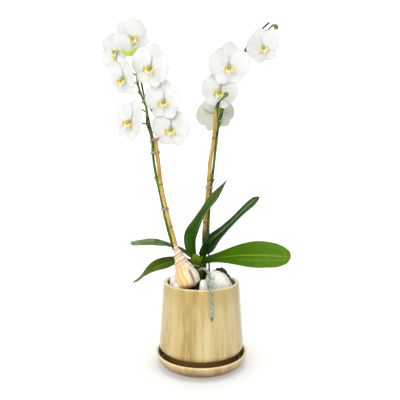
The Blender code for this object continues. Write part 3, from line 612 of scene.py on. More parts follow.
@dataclass(frozen=True)
class Paper:
    """The studio's plain matt paper, which glows as painted light: dim near the pot, brighter far behind
    it.
    """

    name: str
    tone: Colour = (0.8, 0.8, 0.8)

    def make(self) -> bpy.types.Material:
        """Builds the paper."""
        paint = Paint(self.name, Roughness=0.95, Specular_IOR_Level=0.05, Emission_Strength=1.0)
        # painted light: the paper glows, dimmer near the pot and brighter far behind it
        far = paint.axis("Y").step(0.25, 1.6)
        glow = paint.mix(far, (0.24, 0.24, 0.24), (0.72, 0.72, 0.72))
        paint.feed(paint.shader.inputs["Emission Color"], glow)
        return paint.finish(paint.mix(paint.noise(3.0, 2.0) * 0.06, self.tone, (0.8, 0.8, 0.79)))


# ---------------------------------------------------------------- mesh making
def catmull(points: list, samples: int) -> list[Vector]:
    """Points along a smooth curve.

    Args:
        points: what the curve passes through.
        samples: how many steps it is cut into, shared evenly between the spans.

    Returns:
        The curve's points.
    """
    points = [Vector(p) for p in points]
    ends = [2 * points[0] - points[1], *points, 2 * points[-1] - points[-2]]
    spans = len(points) - 1
    found = []
    for k in range(samples + 1):
        place = k / samples * spans
        i = min(int(place), spans - 1)
        t = place - i
        p0, p1, p2, p3 = ends[i : i + 4]
        found.append(0.5 * (2 * p1 + (p2 - p0) * t + (2 * p0 - 5 * p1 + 4 * p2 - p3) * t * t
                            + (3 * p1 - p0 - 3 * p2 + p3) * t ** 3))
    return found


def smooth_values(values: list[float], samples: int) -> list[float]:
    """Numbers that pass smoothly through the given ones."""
    return [point.x for point in catmull([(v, 0.0, 0.0) for v in values], samples)]


def frames_along(route: list[Vector]) -> list[tuple[Vector, Vector, Vector, Vector]]:
    """Frames that turn as little as possible.

    Args:
        route: the points of a path.

    Returns:
        (point, side, over, tangent) at each of them.
    """
    last = len(route) - 1
    tangents = [(route[min(i + 1, last)] - route[max(i - 1, 0)]).normalized() for i in range(last + 1)]
    side = tangents[0].orthogonal().normalized()
    frames = []
    for point, tangent in zip(route, tangents):
        side = (side - tangent * side.dot(tangent)).normalized()
        frames.append((point, side, tangent.cross(side), tangent))
    return frames


class Form:
    """Closed surfaces in the making, with surface coordinates and a tint at each point."""

    def __init__(self) -> None:
        """Starts empty."""
        self.points: list[Vector] = []
        self.tints: list[tuple] = []
        self.faces: list[tuple] = []
        self.uvs: list[tuple] = []

    def rows(self, rows: list[list[Vector]], tint: tuple, wrap: bool = False) -> list[list[int]]:
        """Adds a grid of quads.

        Args:
            rows: points, row by row.
            tint: the red, green, blue and alpha that its points carry.
            wrap: whether each row joins up with itself.

        Returns:
            The numbers of its points, row by row.
        """
        numbers = []
        for row in rows:
            numbers.append(list(range(len(self.points), len(self.points) + len(row))))
            self.points.extend(row)
            self.tints.extend([tint] * len(row))
        tall, wide = len(rows) - 1, len(rows[0]) if wrap else len(rows[0]) - 1
        for r in range(tall):
            for c in range(wide):
                d = (c + 1) % len(rows[0])
                self.faces.append((numbers[r][c], numbers[r][d], numbers[r + 1][d], numbers[r + 1][c]))
                left, right, low, high = c / wide, (c + 1) / wide, r / tall, (r + 1) / tall
                self.uvs.append(((left, low), (right, low), (right, high), (left, high)))
        return numbers

    def fan(self, ring: list[int], middle: Vector, tint: tuple, along: float) -> None:
        """Closes a ring with a fan of triangles about its middle."""
        self.points.append(middle)
        self.tints.append(tint)
        hub = len(self.points) - 1
        for k, number in enumerate(ring):
            after = ring[(k + 1) % len(ring)]
            self.faces.append((hub, number, after))
            self.uvs.append(((k / len(ring), along), (k / len(ring), along), ((k + 1) / len(ring), along)))

    def loft(self, rings: list[list[Vector]], tint: tuple = (1.0, 1.0, 1.0, 0.0)) -> "Form":
        """Adds a closed skin through rings of equally many points."""
        numbers = self.rows(rings, tint, wrap=True)
        for ring, end, along in ((rings[0], numbers[0], 0.0), (rings[-1], numbers[-1], 1.0)):
            self.fan(end, sum(ring, Vector()) / len(ring), tint, along)
        return self

    def tube(self, route: list, radii: list[float], sides: int = 12, tint: tuple = (1.0, 1.0, 1.0, 0.0),
             flat: float = 1.0) -> "Form":
        """Adds a tube with rounded ends.

        Args:
            route: the points it follows.
            radii: its radius at each of them.
            sides: how many faces go round it.
            tint: what its points carry.
            flat: its second half width as a share of the first.

        Returns:
            The form.
        """
        rings = []
        last = len(route) - 1
        for i, ((point, side, over, tangent), radius) in enumerate(zip(frames_along(route), radii)):
            steps = ((-0.95, 0.31), (-0.6, 0.8), (0.0, 1.0)) if i == 0 else ((0.0, 1.0),)
            steps = ((0.0, 1.0), (0.6, 0.8), (0.95, 0.31)) if i == last else steps
            for ahead, share in steps:
                rings.append([
                    point + tangent * ahead * radius
                    + radius * share * (math.cos(a) * side + flat * math.sin(a) * over)
                    for a in (math.tau * k / sides for k in range(sides))
                ])
        return self.loft(rings, tint)

    def blade(self, grid: list[list[Vector]], thick: float, top: tuple, low: tuple) -> "Form":
        """Adds a thin closed blade about a grid of points.

        Args:
            grid: the middle surface, row by row from its base to its tip.
            thick: how thick it is in the middle; its edges thin to a third of that.
            top: what its upper face carries.
            low: what its lower face carries.

        Returns:
            The form.
        """
        tall, wide = len(grid) - 1, len(grid[0]) - 1
        upper, lower = [], []
        for r, row in enumerate(grid):
            up_row, low_row = [], []
            for c, point in enumerate(row):
                along = grid[min(r + 1, tall)][c] - grid[max(r - 1, 0)][c]
                across = row[min(c + 1, wide)] - row[max(c - 1, 0)]
                if across.length < 1e-7:
                    near = grid[max(r - 1, 0)] if r else grid[1]
                    across = near[min(c + 1, wide)] - near[max(c - 1, 0)]
                normal = across.cross(along).normalized()
                edge = max(abs(2 * c / wide - 1), abs(2 * r / tall - 1) ** 4)
                half = normal * (thick / 2 * (1 - 0.67 * edge ** 3))
                up_row.append(point + half)
                low_row.append(point - half)
            upper.append(up_row)
            lower.append(low_row)
        a = self.rows(upper, top)
        b = self.rows(lower, low)
        rim_a = a[0] + [row[-1] for row in a[1:]] + a[-1][-2::-1] + [row[0] for row in a[-2:0:-1]]
        rim_b = b[0] + [row[-1] for row in b[1:]] + b[-1][-2::-1] + [row[0] for row in b[-2:0:-1]]
        for k in range(len(rim_a)):
            j = (k + 1) % len(rim_a)
            self.faces.append((rim_a[k], rim_a[j], rim_b[j], rim_b[k]))
            place = (0.0, 0.5) if k else (0.0, 0.0)
            self.uvs.append((place, place, place, place))
        return self

    def moved(self, matrix: Matrix) -> "Form":
        """Moves every point."""
        self.points = [matrix @ point for point in self.points]
        return self

    def mesh(self, name: str) -> bpy.types.Mesh:
        """Makes the mesh, joined up and facing outwards.

        Args:
            name: the mesh's name.

        Returns:
            The mesh.
        """
        made = bpy.data.meshes.new(name)
        made.from_pydata([tuple(p) for p in self.points], [], self.faces)
        layer = made.uv_layers.new(name="UVMap")
        flat = [value for face in self.uvs for pair in face for value in pair]
        layer.data.foreach_set("uv", flat)
        tint = made.color_attributes.new("tint", "FLOAT_COLOR", "POINT")
        tint.data.foreach_set("color", [value for colour in self.tints for value in colour])
        bm = bmesh.new()
        bm.from_mesh(made)
        bmesh.ops.remove_doubles(bm, verts=bm.verts, dist=2e-6)
        bmesh.ops.dissolve_degenerate(bm, edges=bm.edges, dist=1e-7)
        bmesh.ops.recalc_face_normals(bm, faces=bm.faces)
        bm.to_mesh(made)
        bm.free()
        return made


def turned(profile: list[tuple[float, float]], steps: int = 160) -> Form:
    """A round form about Z.

    Args:
        profile: (radius, height) points of its closed outline, from the axis back to it or joined up.
        steps: how many faces go round it.

    Returns:
        The form.
    """
    form = Form()
    rows = [
        [Vector((radius * math.cos(a), radius * math.sin(a), height))
         for a in (math.tau * k / steps for k in range(steps))]
        for radius, height in profile
    ]
    form.rows(rows, (1.0, 1.0, 1.0, 0.0), wrap=True)
    return form


def rounded(corners: list[tuple[float, float, float]], steps: int = 6) -> list[tuple[float, float]]:
    """Rounds the corners of an outline.

    Args:
        corners: (radius, height, how far the rounding reaches) of each corner.
        steps: how many points each rounding has.

    Returns:
        The (radius, height) points.
    """
    found = []
    for i, (radius, height, reach) in enumerate(corners):
        here = Vector((radius, height))
        if reach == 0.0 or i in (0, len(corners) - 1):
            found.append((radius, height))
            continue
        before, after = Vector(corners[i - 1][:2]), Vector(corners[i + 1][:2])
        start = here + (before - here).normalized() * min(reach, (before - here).length * 0.49)
        end = here + (after - here).normalized() * min(reach, (after - here).length * 0.49)
        for k in range(steps + 1):
            t = k / steps
            found.append(tuple(start * (1 - t) ** 2 + here * 2 * t * (1 - t) + end * t * t))
    return found


class Slot(Enum):
    """The record's material slots."""

    GLAZE = "pot_glaze"
    BARK = "bark"
    SHELL_BANDED = "shell_banded"
    SHELL_WHITE = "shell_white"
    STEM = "stem"
    ROOT = "root"
    DRY_ROOT = "dry_root"
    LEAF = "leaf"
    SPIKE = "spike"
    BAMBOO = "bamboo"
    WIRE = "wire"
    TEPAL = "tepal"
    LIP = "lip"
    BUD = "bud"


def add_piece(name: str, mesh: bpy.types.Mesh, finish: bpy.types.Material, slot: Slot, *nodes: str,
              sharp: float = 40.0) -> bpy.types.Object:
    """Links a finished mesh as one piece of the orchid.

    Args:
        name: the piece's name.
        mesh: its mesh, already in place.
        finish: its material.
        slot: not used.
        nodes: the modelled parts that it stands for.
        sharp: edges that bend more than this many degrees stay crisp.

    Returns:
        The piece.
    """
    obj = bpy.data.objects.new(name, mesh)
    bpy.context.scene.collection.objects.link(obj)
    mesh.materials.clear()
    mesh.materials.append(finish)
    mesh.shade_smooth()
    mesh.set_sharp_from_angle(angle=math.radians(sharp))
    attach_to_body(obj, "root")
    if nodes:
        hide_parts(*nodes)
    log.info("%s: %d faces", name, len(mesh.polygons))
    return obj


# ---------------------------------------------------------------- repeated and swept pieces
class Growth(Net):
    """A Geometry Nodes tree with named inputs, applied to an object and baked to a mesh."""

    def __init__(self, name: str, **sizes: float) -> None:
        """Starts a tree.

        Args:
            name: the tree's name.
            sizes: its named inputs and their values.
        """
        super().__init__(bpy.data.node_groups.new(name, "GeometryNodeTree"))
        self.tree.interface.new_socket("Geometry", in_out="INPUT", socket_type="NodeSocketGeometry")
        self.tree.interface.new_socket("Geometry", in_out="OUTPUT", socket_type="NodeSocketGeometry")
        self.sizes = sizes
        for key, value in sizes.items():
            kind = "NodeSocketInt" if isinstance(value, int) else "NodeSocketFloat"
            self.tree.interface.new_socket(key, in_out="INPUT", socket_type=kind)
        self.source = self.tree.nodes.new("NodeGroupInput")

    def given(self, name: str = "Geometry") -> Sock:
        """One of the tree's inputs."""
        return Sock(self, self.source.outputs[name])

    def close(self, geometry: Sock, finish: bpy.types.Material) -> None:
        """Ends the tree in real geometry that carries its finish."""
        real = self.add("GeometryNodeRealizeInstances", None, {0: geometry})
        dressed = self.add("GeometryNodeSetMaterial", None, {0: real, "Material": finish})
        end = self.tree.nodes.new("NodeGroupOutput")
        self.tree.links.new(dressed.socket, end.inputs[0])

    def bake(self, mesh: bpy.types.Mesh) -> bpy.types.Mesh:
        """Runs the tree on a mesh.

        Args:
            mesh: what the tree starts from.

        Returns:
            The result as a plain mesh.
        """
        obj = bpy.data.objects.new("bench", mesh)
        bpy.context.scene.collection.objects.link(obj)
        modifier = obj.modifiers.new("growth", "NODES")
        modifier.node_group = self.tree
        for item in self.tree.interface.items_tree:
            if item.in_out == "INPUT" and item.name in self.sizes:
                modifier[item.identifier] = self.sizes[item.name]
        graph = bpy.context.evaluated_depsgraph_get()
        made = bpy.data.meshes.new_from_object(obj.evaluated_get(graph), depsgraph=graph)
        obj.modifiers.remove(modifier)
        bpy.data.objects.remove(obj)
        return made


def path_mesh(route: list[Vector], radii: list[float]) -> bpy.types.Mesh:
    """An open line of edges that carries a radius at each point."""
    made = bpy.data.meshes.new("path")
    made.from_pydata([tuple(p) for p in route], [(i, i + 1) for i in range(len(route) - 1)], [])
    thick = made.attributes.new("thick", "FLOAT", "POINT")
    thick.data.foreach_set("value", radii)
    return made


@dataclass
class Rod:
    """A round rod along a path, with a ridge at each joint."""

    spacing: float
    first: float
    ridge: float
    ridge_width: float
    sides: int = 16
    waver: float = 0.0

    def mesh(self, route: list[Vector], radii: list[float], finish: bpy.types.Material) -> bpy.types.Mesh:
        """Sweeps the rod.

        Args:
            route: the path that it follows.
            radii: its radius at each point.
            finish: its material.

        Returns:
            The mesh, with a "joint" value that is 1 on each ridge.
        """
        net = Growth("rod", Spacing=self.spacing, First=self.first, Ridge=self.ridge,
                     Width=self.ridge_width, Waver=self.waver, Sides=self.sides)
        curve = net.add("GeometryNodeMeshToCurve", None, {0: net.given()})
        curve = net.add("GeometryNodeResampleCurve", None, {"Curve": curve, "Count": 260})
        length = net.add("GeometryNodeSplineParameter", None, None, "Length")
        turn = ((length - net.given("First")) / net.given("Spacing")).fraction()
        near = abs((turn + 0.5).fraction() - 0.5) * net.given("Spacing") / net.given("Width")
        joint = net.add(
            "ShaderNodeMapRange", {"interpolation_type": "SMOOTHSTEP"},
            {0: near, 1: 0.0, 2: 1.0, 3: 1.0, 4: 0.0}
        )
        thick = net.add("GeometryNodeInputNamedAttribute", {"data_type": "FLOAT"}, {"Name": "thick"})
        uneven = net.add("ShaderNodeTexNoise", None, {"Scale": 90.0, "Detail": 2.0}) - 0.5
        swell = joint * net.given("Ridge") + uneven * net.given("Waver") + 1.0
        curve = net.add("GeometryNodeStoreNamedAttribute", {"data_type": "FLOAT", "domain": "POINT"},
                        {0: curve, "Name": "joint", "Value": joint})
        circle = net.add(
            "GeometryNodeCurvePrimitiveCircle", None, {"Resolution": net.given("Sides"), "Radius": 1.0}
        )
        swept = net.add("GeometryNodeCurveToMesh", None,
                        {
                            "Curve": curve, "Profile Curve": circle, "Scale": thick * swell,
                            "Fill Caps": True
                        })
        net.close(swept, finish)
        made = net.bake(path_mesh(route, radii))
        bm = bmesh.new()
        bm.from_mesh(made)
        bmesh.ops.recalc_face_normals(bm, faces=bm.faces)
        bm.to_mesh(made)
        bm.free()
        return made


# ---------------------------------------------------------------- the pot and what lies in it
BARK_TOP = 0.1417  # the bark's surface, above what the saucer stands on
LIFT = Matrix.Translation((0.0, 0.0, BARK_TOP))  # carries plant points into place


@dataclass
class PotAndSaucer:
    """The glazed pot, wider at its base, with its foot ring in a shallow saucer."""

    rim_radius: float = 0.07
    base_radius: float = 0.0777
    foot_radius: float = 0.069
    wall: float = 0.008
    bottom: float = 0.0063
    foot_height: float = 0.0235
    rim_z: float = 0.1517
    saucer_lip: float = 0.0837
    saucer_height: float = 0.0245
    saucer_floor: float = 0.006

    def pot(self) -> Form:
        """The pot's outline, turned: drain hole, foot ring, rolled shoulder, wall and soft rim."""
        inner_foot = self.foot_radius - self.wall
        under, inside = self.bottom + 0.004, self.bottom + 0.013
        step = self.bottom + self.foot_height
        corners = [
            (0.008, inside - 0.0045, 0.0), (0.008, under, 0.0012), (inner_foot, under, 0.0015),
            (inner_foot, self.bottom, 0.0012), (self.foot_radius, self.bottom, 0.0018),
            (self.foot_radius, step, 0.0016), (self.base_radius - 0.0012, step + 0.0012, 0.003),
            (self.base_radius, step + 0.007, 0.004), (self.rim_radius, self.rim_z - 0.001, 0.002),
            (self.rim_radius - 0.0014, self.rim_z, 0.0016), (
                self.rim_radius - self.wall + 0.0016, self.rim_z, 0.002
            ),
            (self.rim_radius - self.wall, self.rim_z - 0.003, 0.003),
            (self.foot_radius - self.wall / 2, inside + self.wall, 0.006),
            (inner_foot - self.wall, inside, 0.004),
            (0.008, inside, 0.0012), (0.008, inside - 0.0045, 0.0),
        ]
        return turned(self.slightly_thrown(rounded(corners)))

    def slightly_thrown(self, profile: list[tuple[float, float]]) -> list[tuple[float, float]]:
        """Cuts the long wall into short steps that waver a little, as a thrown wall does."""
        found = [profile[0]]
        for (r0, z0), (r1, z1) in zip(profile, profile[1:]):
            parts = max(1, round(math.dist((r0, z0), (r1, z1)) / 0.003))
            for k in range(1, parts + 1):
                t = k / parts
                r, z = r0 + (r1 - r0) * t, z0 + (z1 - z0) * t
                waver = 0.00012 * math.sin(z * 520.0) * min(1.0, 4 * t * (1 - t)) if parts > 12 else 0.0
                found.append((r - abs(waver), z))
        return found

    def saucer(self) -> Form:
        """The saucer's outline, turned: a low foot, a bowed side and a thick rounded lip."""
        lip, top = self.saucer_lip, self.saucer_height
        corners = [
            (0.0, 0.0012, 0.0), (lip - 0.029, 0.0012, 0.001), (lip - 0.027, 0.0, 0.0008),
            (lip - 0.0202, 0.0, 0.0014), (lip - 0.0117, 0.0035, 0.004), (lip - 0.004, 0.0105, 0.004),
            (lip, top - 0.003, 0.002), (lip - 0.0003, top, 0.0018), (lip - 0.004, top, 0.0018),
            (lip - 0.0052, top - 0.004, 0.003), (lip - 0.0087, self.saucer_floor, 0.004),
            (0.0, self.saucer_floor, 0.0),
        ]
        return turned(rounded(corners))

    def build(self) -> None:
        """Makes and dresses the pot and the saucer."""
        cream = (0.78, 0.68, 0.42)
        # each glaze gets painted shade at its foot: the two numbers after the rim depth say where it starts
        # and how far it fades
        pot_glaze = Glaze("pot_glaze_finish", self.rim_z, cream, 0.0028, 0.0255, 0.015)
        honey = (0.88, 0.74, 0.4)
        saucer_glaze = Glaze("saucer_glaze_finish", self.saucer_height, honey, 0.0034, 0.006, 0.016,
                             pale=(0.77, 0.63, 0.36), middle=(0.7, 0.55, 0.28), deep=(0.57, 0.41, 0.175),
                             top_tone=(0.46, 0.31, 0.12))
        add_piece(
            "glazed_pot", self.pot().mesh("glazed_pot"), pot_glaze.make(), Slot.GLAZE, "pot", sharp=50
        )
        add_piece("glazed_saucer", self.saucer().mesh("glazed_saucer"), saucer_glaze.make(), Slot.GLAZE,
                  "saucer", sharp=50)


@dataclass
class BarkBed:
    """The bark that fills the pot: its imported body, loose chips on top and two larger chunks."""

    reach: float = 0.0535
    density: float = 36000.0
    seed: int = 11
    chunks: tuple = (
        ("bark_chunk_back", (0.012, 0.047), (0.011, 0.0065, 0.008), 15),
        ("bark_chunk_left", (-0.042, 0.023), (0.011, 0.007, 0.008), 40),
    )

    def disc(self) -> bpy.types.Mesh:
        """The flat disc that the chips lie on."""
        bm = bmesh.new()
        bmesh.ops.create_circle(bm, cap_ends=True, cap_tris=True, segments=48, radius=self.reach,
                                matrix=Matrix.Translation((0.0, 0.0, BARK_TOP + 0.001)))
        mesh = bpy.data.meshes.new("disc")
        bm.to_mesh(mesh)
        bm.free()
        return mesh

    def chips(self, finish: bpy.types.Material) -> bpy.types.Mesh:
        """Scatters chips: each a worn splinter, turned and tilted its own way."""
        net = Growth("chips", Density=self.density, Seed=self.seed)
        points = net.add("GeometryNodeDistributePointsOnFaces", {"distribute_method": "RANDOM"},
                         {"Mesh": net.given(), "Density": net.given("Density"), "Seed": net.given("Seed")})
        chip = net.add("GeometryNodeMeshIcoSphere", None, {"Radius": 0.0034, "Subdivisions": 2})
        vector = {"data_type": "FLOAT_VECTOR"}
        tilt = net.add(
            "FunctionNodeRandomValue", vector, {0: (-0.5, -0.5, 0.0), 1: (0.5, 0.5, 6.28), "Seed": 5}
        )
        size = net.add(
            "FunctionNodeRandomValue", vector, {0: (0.8, 0.5, 0.3), 1: (2.1, 1.1, 0.7), "Seed": 8}
        )
        turn = net.add("FunctionNodeEulerToRotation", None, {0: tilt})
        laid = net.add("GeometryNodeInstanceOnPoints", None,
                       {"Points": points, "Instance": chip, "Rotation": turn, "Scale": size})
        real = net.add("GeometryNodeRealizeInstances", None, {0: laid})
        rough = net.add(
            "ShaderNodeTexNoise", {"noise_dimensions": "3D"}, {"Scale": 260.0, "Detail": 2.0}, "Color"
        )
        shift = net.add("ShaderNodeVectorMath", {"operation": "SUBTRACT"}, {0: rough, 1: (0.5, 0.5, 0.5)})
        shift = net.add("ShaderNodeVectorMath", {"operation": "SCALE"}, {0: shift, "Scale": 0.0055})
        real = net.add("GeometryNodeSetPosition", None, {"Geometry": real, "Offset": shift})
        net.close(real, finish)
        return net.bake(self.disc())

    def chunk(self, name: str, centre: tuple, half: tuple, turn: float) -> Form:
        """A chunk of bark: a block whose layers have split and worn.

        Args:
            name: the chunk's name, which also picks its grain.
            centre: where it lies.
            half: its half sizes.
            turn: its turn about Z in degrees.

        Returns:
            The form.
        """
        layers, sides = 18, 36
        rings = []
        offset = Vector((len(name), 3.0, 7.0))
        for r in range(layers + 1):
            level = r / layers
            edge = min(1.0, 6 * min(level, 1 - level) + 0.55)
            ring = []
            for k in range(sides):
                a = math.tau * k / sides
                square = 1 / max(abs(math.cos(a)), abs(math.sin(a))) ** 0.6
                x = half[0] * 0.86 * square * edge * math.cos(a)
                y = half[1] * 0.86 * square * edge * math.sin(a)
                p = Vector((x, y, 2 * half[2] * level))
                grain = noise.noise(Vector((p.x * 90, p.y * 90, p.z * 420)) + offset)
                p.xy *= 1 + 0.1 * grain
                ring.append(p)
            rings.append(ring)
        place = Matrix.Translation((*centre, BARK_TOP)) @ Matrix.Rotation(math.radians(turn), 4, "Z")
        return Form().loft(rings).moved(place)

    def build(self) -> None:
        """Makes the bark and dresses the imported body."""
        finish = Bark("bark_finish").make()
        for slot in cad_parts["potting_bark"].material_slots:
            slot.material = finish
        add_piece("bark_chips", self.chips(finish), finish, Slot.BARK, sharp=30)
        for name, centre, half, turn in self.chunks:
            mesh = self.chunk(name, centre, half, turn).mesh(name)
            add_piece(name + "_worn", mesh, finish, Slot.BARK, name, sharp=35)


@dataclass
class MossMound:
    """A lumpy mound of dark moss behind the shells, with short tufts all over it."""

    centre: tuple = (0.0345, 0.01)
    half: Point = (0.0215, 0.0102, 0.0172)
    density: float = 900000.0
    seed: int = 4

    def body(self) -> Form:
        """The mound under the tufts."""
        layers, sides = 24, 48
        rings = []
        for r in range(layers + 1):
            level = r / layers
            spread = math.sqrt(max(0.0, 1 - level ** 2.2)) * 0.94 + 0.02
            ring = []
            for k in range(sides):
                a = math.tau * k / sides
                p = Vector((self.half[0] * spread * math.cos(a), self.half[1] * spread * math.sin(a),
                            1.9 * self.half[2] * level))
                lump = noise.noise(p * 160.0) * 0.9 + noise.noise(p * 420.0) * 0.5
                ring.append(p * (0.94 + 0.22 * lump))
            rings.append(ring)
        return Form().loft(rings).moved(Matrix.Translation((*self.centre, BARK_TOP)))

    def tufts(self, body: bpy.types.Mesh, finish: bpy.types.Material) -> bpy.types.Mesh:
        """Grows short curved tufts out of the mound."""
        net = Growth("tufts", Density=self.density, Seed=self.seed)
        spots = net.add("GeometryNodeDistributePointsOnFaces", {"distribute_method": "RANDOM"},
                        {"Mesh": net.given(), "Density": net.given("Density"), "Seed": net.given("Seed")})
        turn = Sock(net, spots.socket.node.outputs["Rotation"])
        sprig = net.add("GeometryNodeMeshCone", {"fill_type": "NGON"},
                        {"Vertices": 5, "Radius Top": 0.0001, "Radius Bottom": 0.00042, "Depth": 0.0019})
        size = net.add("FunctionNodeRandomValue", {"data_type": "FLOAT_VECTOR"},
                       {0: (0.6, 0.6, 0.4), 1: (1.3, 1.3, 1.2), "Seed": 2})
        lean = net.add("FunctionNodeRandomValue", {"data_type": "FLOAT_VECTOR"},
                       {0: (-0.7, -0.7, 0.0), 1: (0.7, 0.7, 6.28), "Seed": 9})
        lean = net.add("FunctionNodeEulerToRotation", None, {0: lean})
        turn = net.add("FunctionNodeRotateRotation", {"rotation_space": "LOCAL"}, {0: turn, 1: lean})
        grown = net.add("GeometryNodeInstanceOnPoints", None,
                        {"Points": spots, "Instance": sprig, "Rotation": turn, "Scale": size})
        net.close(grown, finish)
        return net.bake(body.copy())

    def build(self) -> None:
        """Makes the mound and its tufts."""
        finish = Moss("moss_finish").make()
        body = self.body().mesh("moss_body")
        add_piece("moss_tufts", self.tufts(body, finish), finish, Slot.BARK, sharp=60)
        add_piece("moss_body", body, finish, Slot.BARK, "moss_mound", sharp=60)


@dataclass
class RibbedShell:
    """A cockle: a dome whose ribs fan out from its beak, with fine growth lines across them."""

    name: str
    centre: tuple
    half: Point
    turn: float
    beak: Point
    ribs: int
    node: str | None

    def form(self) -> Form:
        """The shell's dome over its flat underside."""
        beak = Vector(self.beak).normalized()
        side = beak.orthogonal().normalized()
        over = beak.cross(side)
        rings = []
        for r in range(41):
            tilt = (r / 40) * 0.5 * math.pi
            ring = []
            for k in range(96):
                a = math.tau * k / 96
                way = Vector((math.cos(a) * math.cos(tilt), math.sin(a) * math.cos(tilt), math.sin(tilt)))
                turn = math.atan2(way.dot(over), way.dot(side))
                away = math.acos(max(-1.0, min(1.0, way.dot(beak))))
                rib = (0.5 + 0.5 * math.cos(turn * self.ribs)) ** 0.7 * min(1.0, away / 0.9)
                growth = math.sin(away * 34.0) + 0.7 * math.sin(away * 13.0)
                size = 0.945 + 0.035 * rib + 0.006 * growth * min(1.0, away)
                full = Vector([math.copysign(abs(part) ** 0.82, part) for part in way]) * size
                full.x -= 0.22 * full.z ** 2
                ring.append(
                    Vector((full.x * self.half[0], full.y * self.half[1], full.z * 2 * self.half[2]))
                )
            rings.append(ring)
        place = Matrix.Translation((*self.centre, BARK_TOP)) @ Matrix.Rotation(
            math.radians(self.turn), 4, "Z"
        )
        return Form().loft(rings).moved(place)

    def build(self, finish: bpy.types.Material) -> None:
        """Makes the shell."""
        stood_for = (self.node,) if self.node else ()
        add_piece(self.name, self.form().mesh(self.name), finish, Slot.SHELL_WHITE, *stood_for, sharp=70)


@dataclass
class SpiralShell:
    """A pointed shell that winds down its axis, with a groove between its whorls and a long mouth."""

    name: str
    tip: Point
    foot: Point
    outline: tuple
    whorls: float
    groove: float
    mouth_bearing: float
    mouth: float
    node: str
    slot: Slot
    banded: bool

    def radius(self, share: float) -> float:
        """The outline's radius at a share of the way down."""
        shares = [s for s, _ in self.outline]
        i = max(k for k in range(len(shares) - 1) if shares[k] <= share + 1e-9)
        p = [self.outline[max(0, min(len(self.outline) - 1, j))][1] for j in (i - 1, i, i + 1, i + 2)]
        t = (share - shares[i]) / (shares[i + 1] - shares[i])
        return 0.5 * (2 * p[1] + (p[2] - p[0]) * t + (2 * p[0] - 5 * p[1] + 4 * p[2] - p[3]) * t * t
                      + (3 * p[1] - p[0] - 3 * p[2] + p[3]) * t ** 3)

    def colour(self, share: float, whorl: float, bearing: float) -> tuple:
        """The colour at a point of the shell.

        Args:
            share: how far down the shell it is.
            whorl: how far between two grooves it is.
            bearing: its angle round the axis.

        Returns:
            The red, green, blue and alpha to carry.
        """
        white = Vector((1.0, 0.96, 0.88))
        if not self.banded:
            warm = Vector((0.95, 0.5, 0.16))
            return (*white.lerp(warm, max(0.0, 1 - share * 3.2)), 0.0)
        pink = Vector((0.85, 0.52, 0.24))
        brown = Vector((0.36, 0.15, 0.05))
        flame = Vector((0.98, 0.56, 0.06))
        spire = min(1.0, max(0.0, 2.0 - share * 3.0))
        colour = white.lerp(pink, spire * (0.5 + 0.5 * math.cos(math.tau * (whorl - 0.8))) ** 2)
        colour = colour.lerp(brown, spire * (0.5 + 0.5 * math.cos(math.tau * (whorl - 0.42))) ** 10)
        streak = (0.5 + 0.5 * math.sin(bearing * 13.0 + share * 5.0 + 0.5 * math.sin(share * 17.0))) ** 1.5
        side = 0.5 + 0.5 * math.sin(bearing - self.mouth_bearing)
        body = min(1.0, max(0.0, (share - 0.36) / 0.12))
        colour = colour.lerp(flame, (0.42 + 0.58 * streak) * min(1.0, 1.35 * side ** 2) * body)
        gap = abs(bearing - self.mouth_bearing)
        inside = max(0.0, 1 - (gap / 0.17) ** 2) * (0.64 < share < 0.95)
        return (*colour.lerp(Vector((0.42, 0.34, 0.28)), inside), 0.0)

    def form(self) -> Form:
        """The wound skin, with the mouth pressed into its last whorl."""
        tip, foot = Vector(self.tip), Vector(self.foot)
        axis = (foot - tip).normalized()
        side = (Vector((1.0, 0.0, 0.0)) - axis * axis.x).normalized()
        over = axis.cross(side)
        form = Form()
        tall, wide = 150, 144
        rings = []
        tints = []
        for r in range(tall + 1):
            share = r / tall
            base = self.radius(share)
            ring = []
            for k in range(wide):
                a = math.tau * k / wide
                whorl = (share ** 0.62 * self.whorls - a / math.tau) % 1.0
                swell = 1 - self.groove * (abs(2 * whorl - 1) ** 5) * min(1.0, max(0.15, 2.1 - 2.6 * share))
                swell -= 0.02 * math.sin(a * 24.0) ** 2 * (1 - share)
                gap = (a - self.mouth_bearing + math.pi) % math.tau - math.pi
                down = (share - 0.6) / 0.38
                if 0 < down < 1:
                    shape = math.sin(math.pi * down) ** 0.6
                    swell -= self.mouth * shape * math.exp(-((gap / 0.13) ** 2))
                    swell += 0.25 * self.mouth * shape * math.exp(-(((gap - 0.34) / 0.16) ** 2))
                ring.append(
                    tip.lerp(foot, share) + base * swell * (math.cos(a) * side + math.sin(a) * over)
                )
                tints.append(self.colour(share, whorl, a))
            rings.append(ring)
        form.loft(rings)
        form.tints[: len(tints)] = tints
        return form.moved(LIFT)

    def build(self, finish: bpy.types.Material) -> None:
        """Makes the shell."""
        add_piece(self.name, self.form().mesh(self.name), finish, self.slot, self.node, sharp=60)


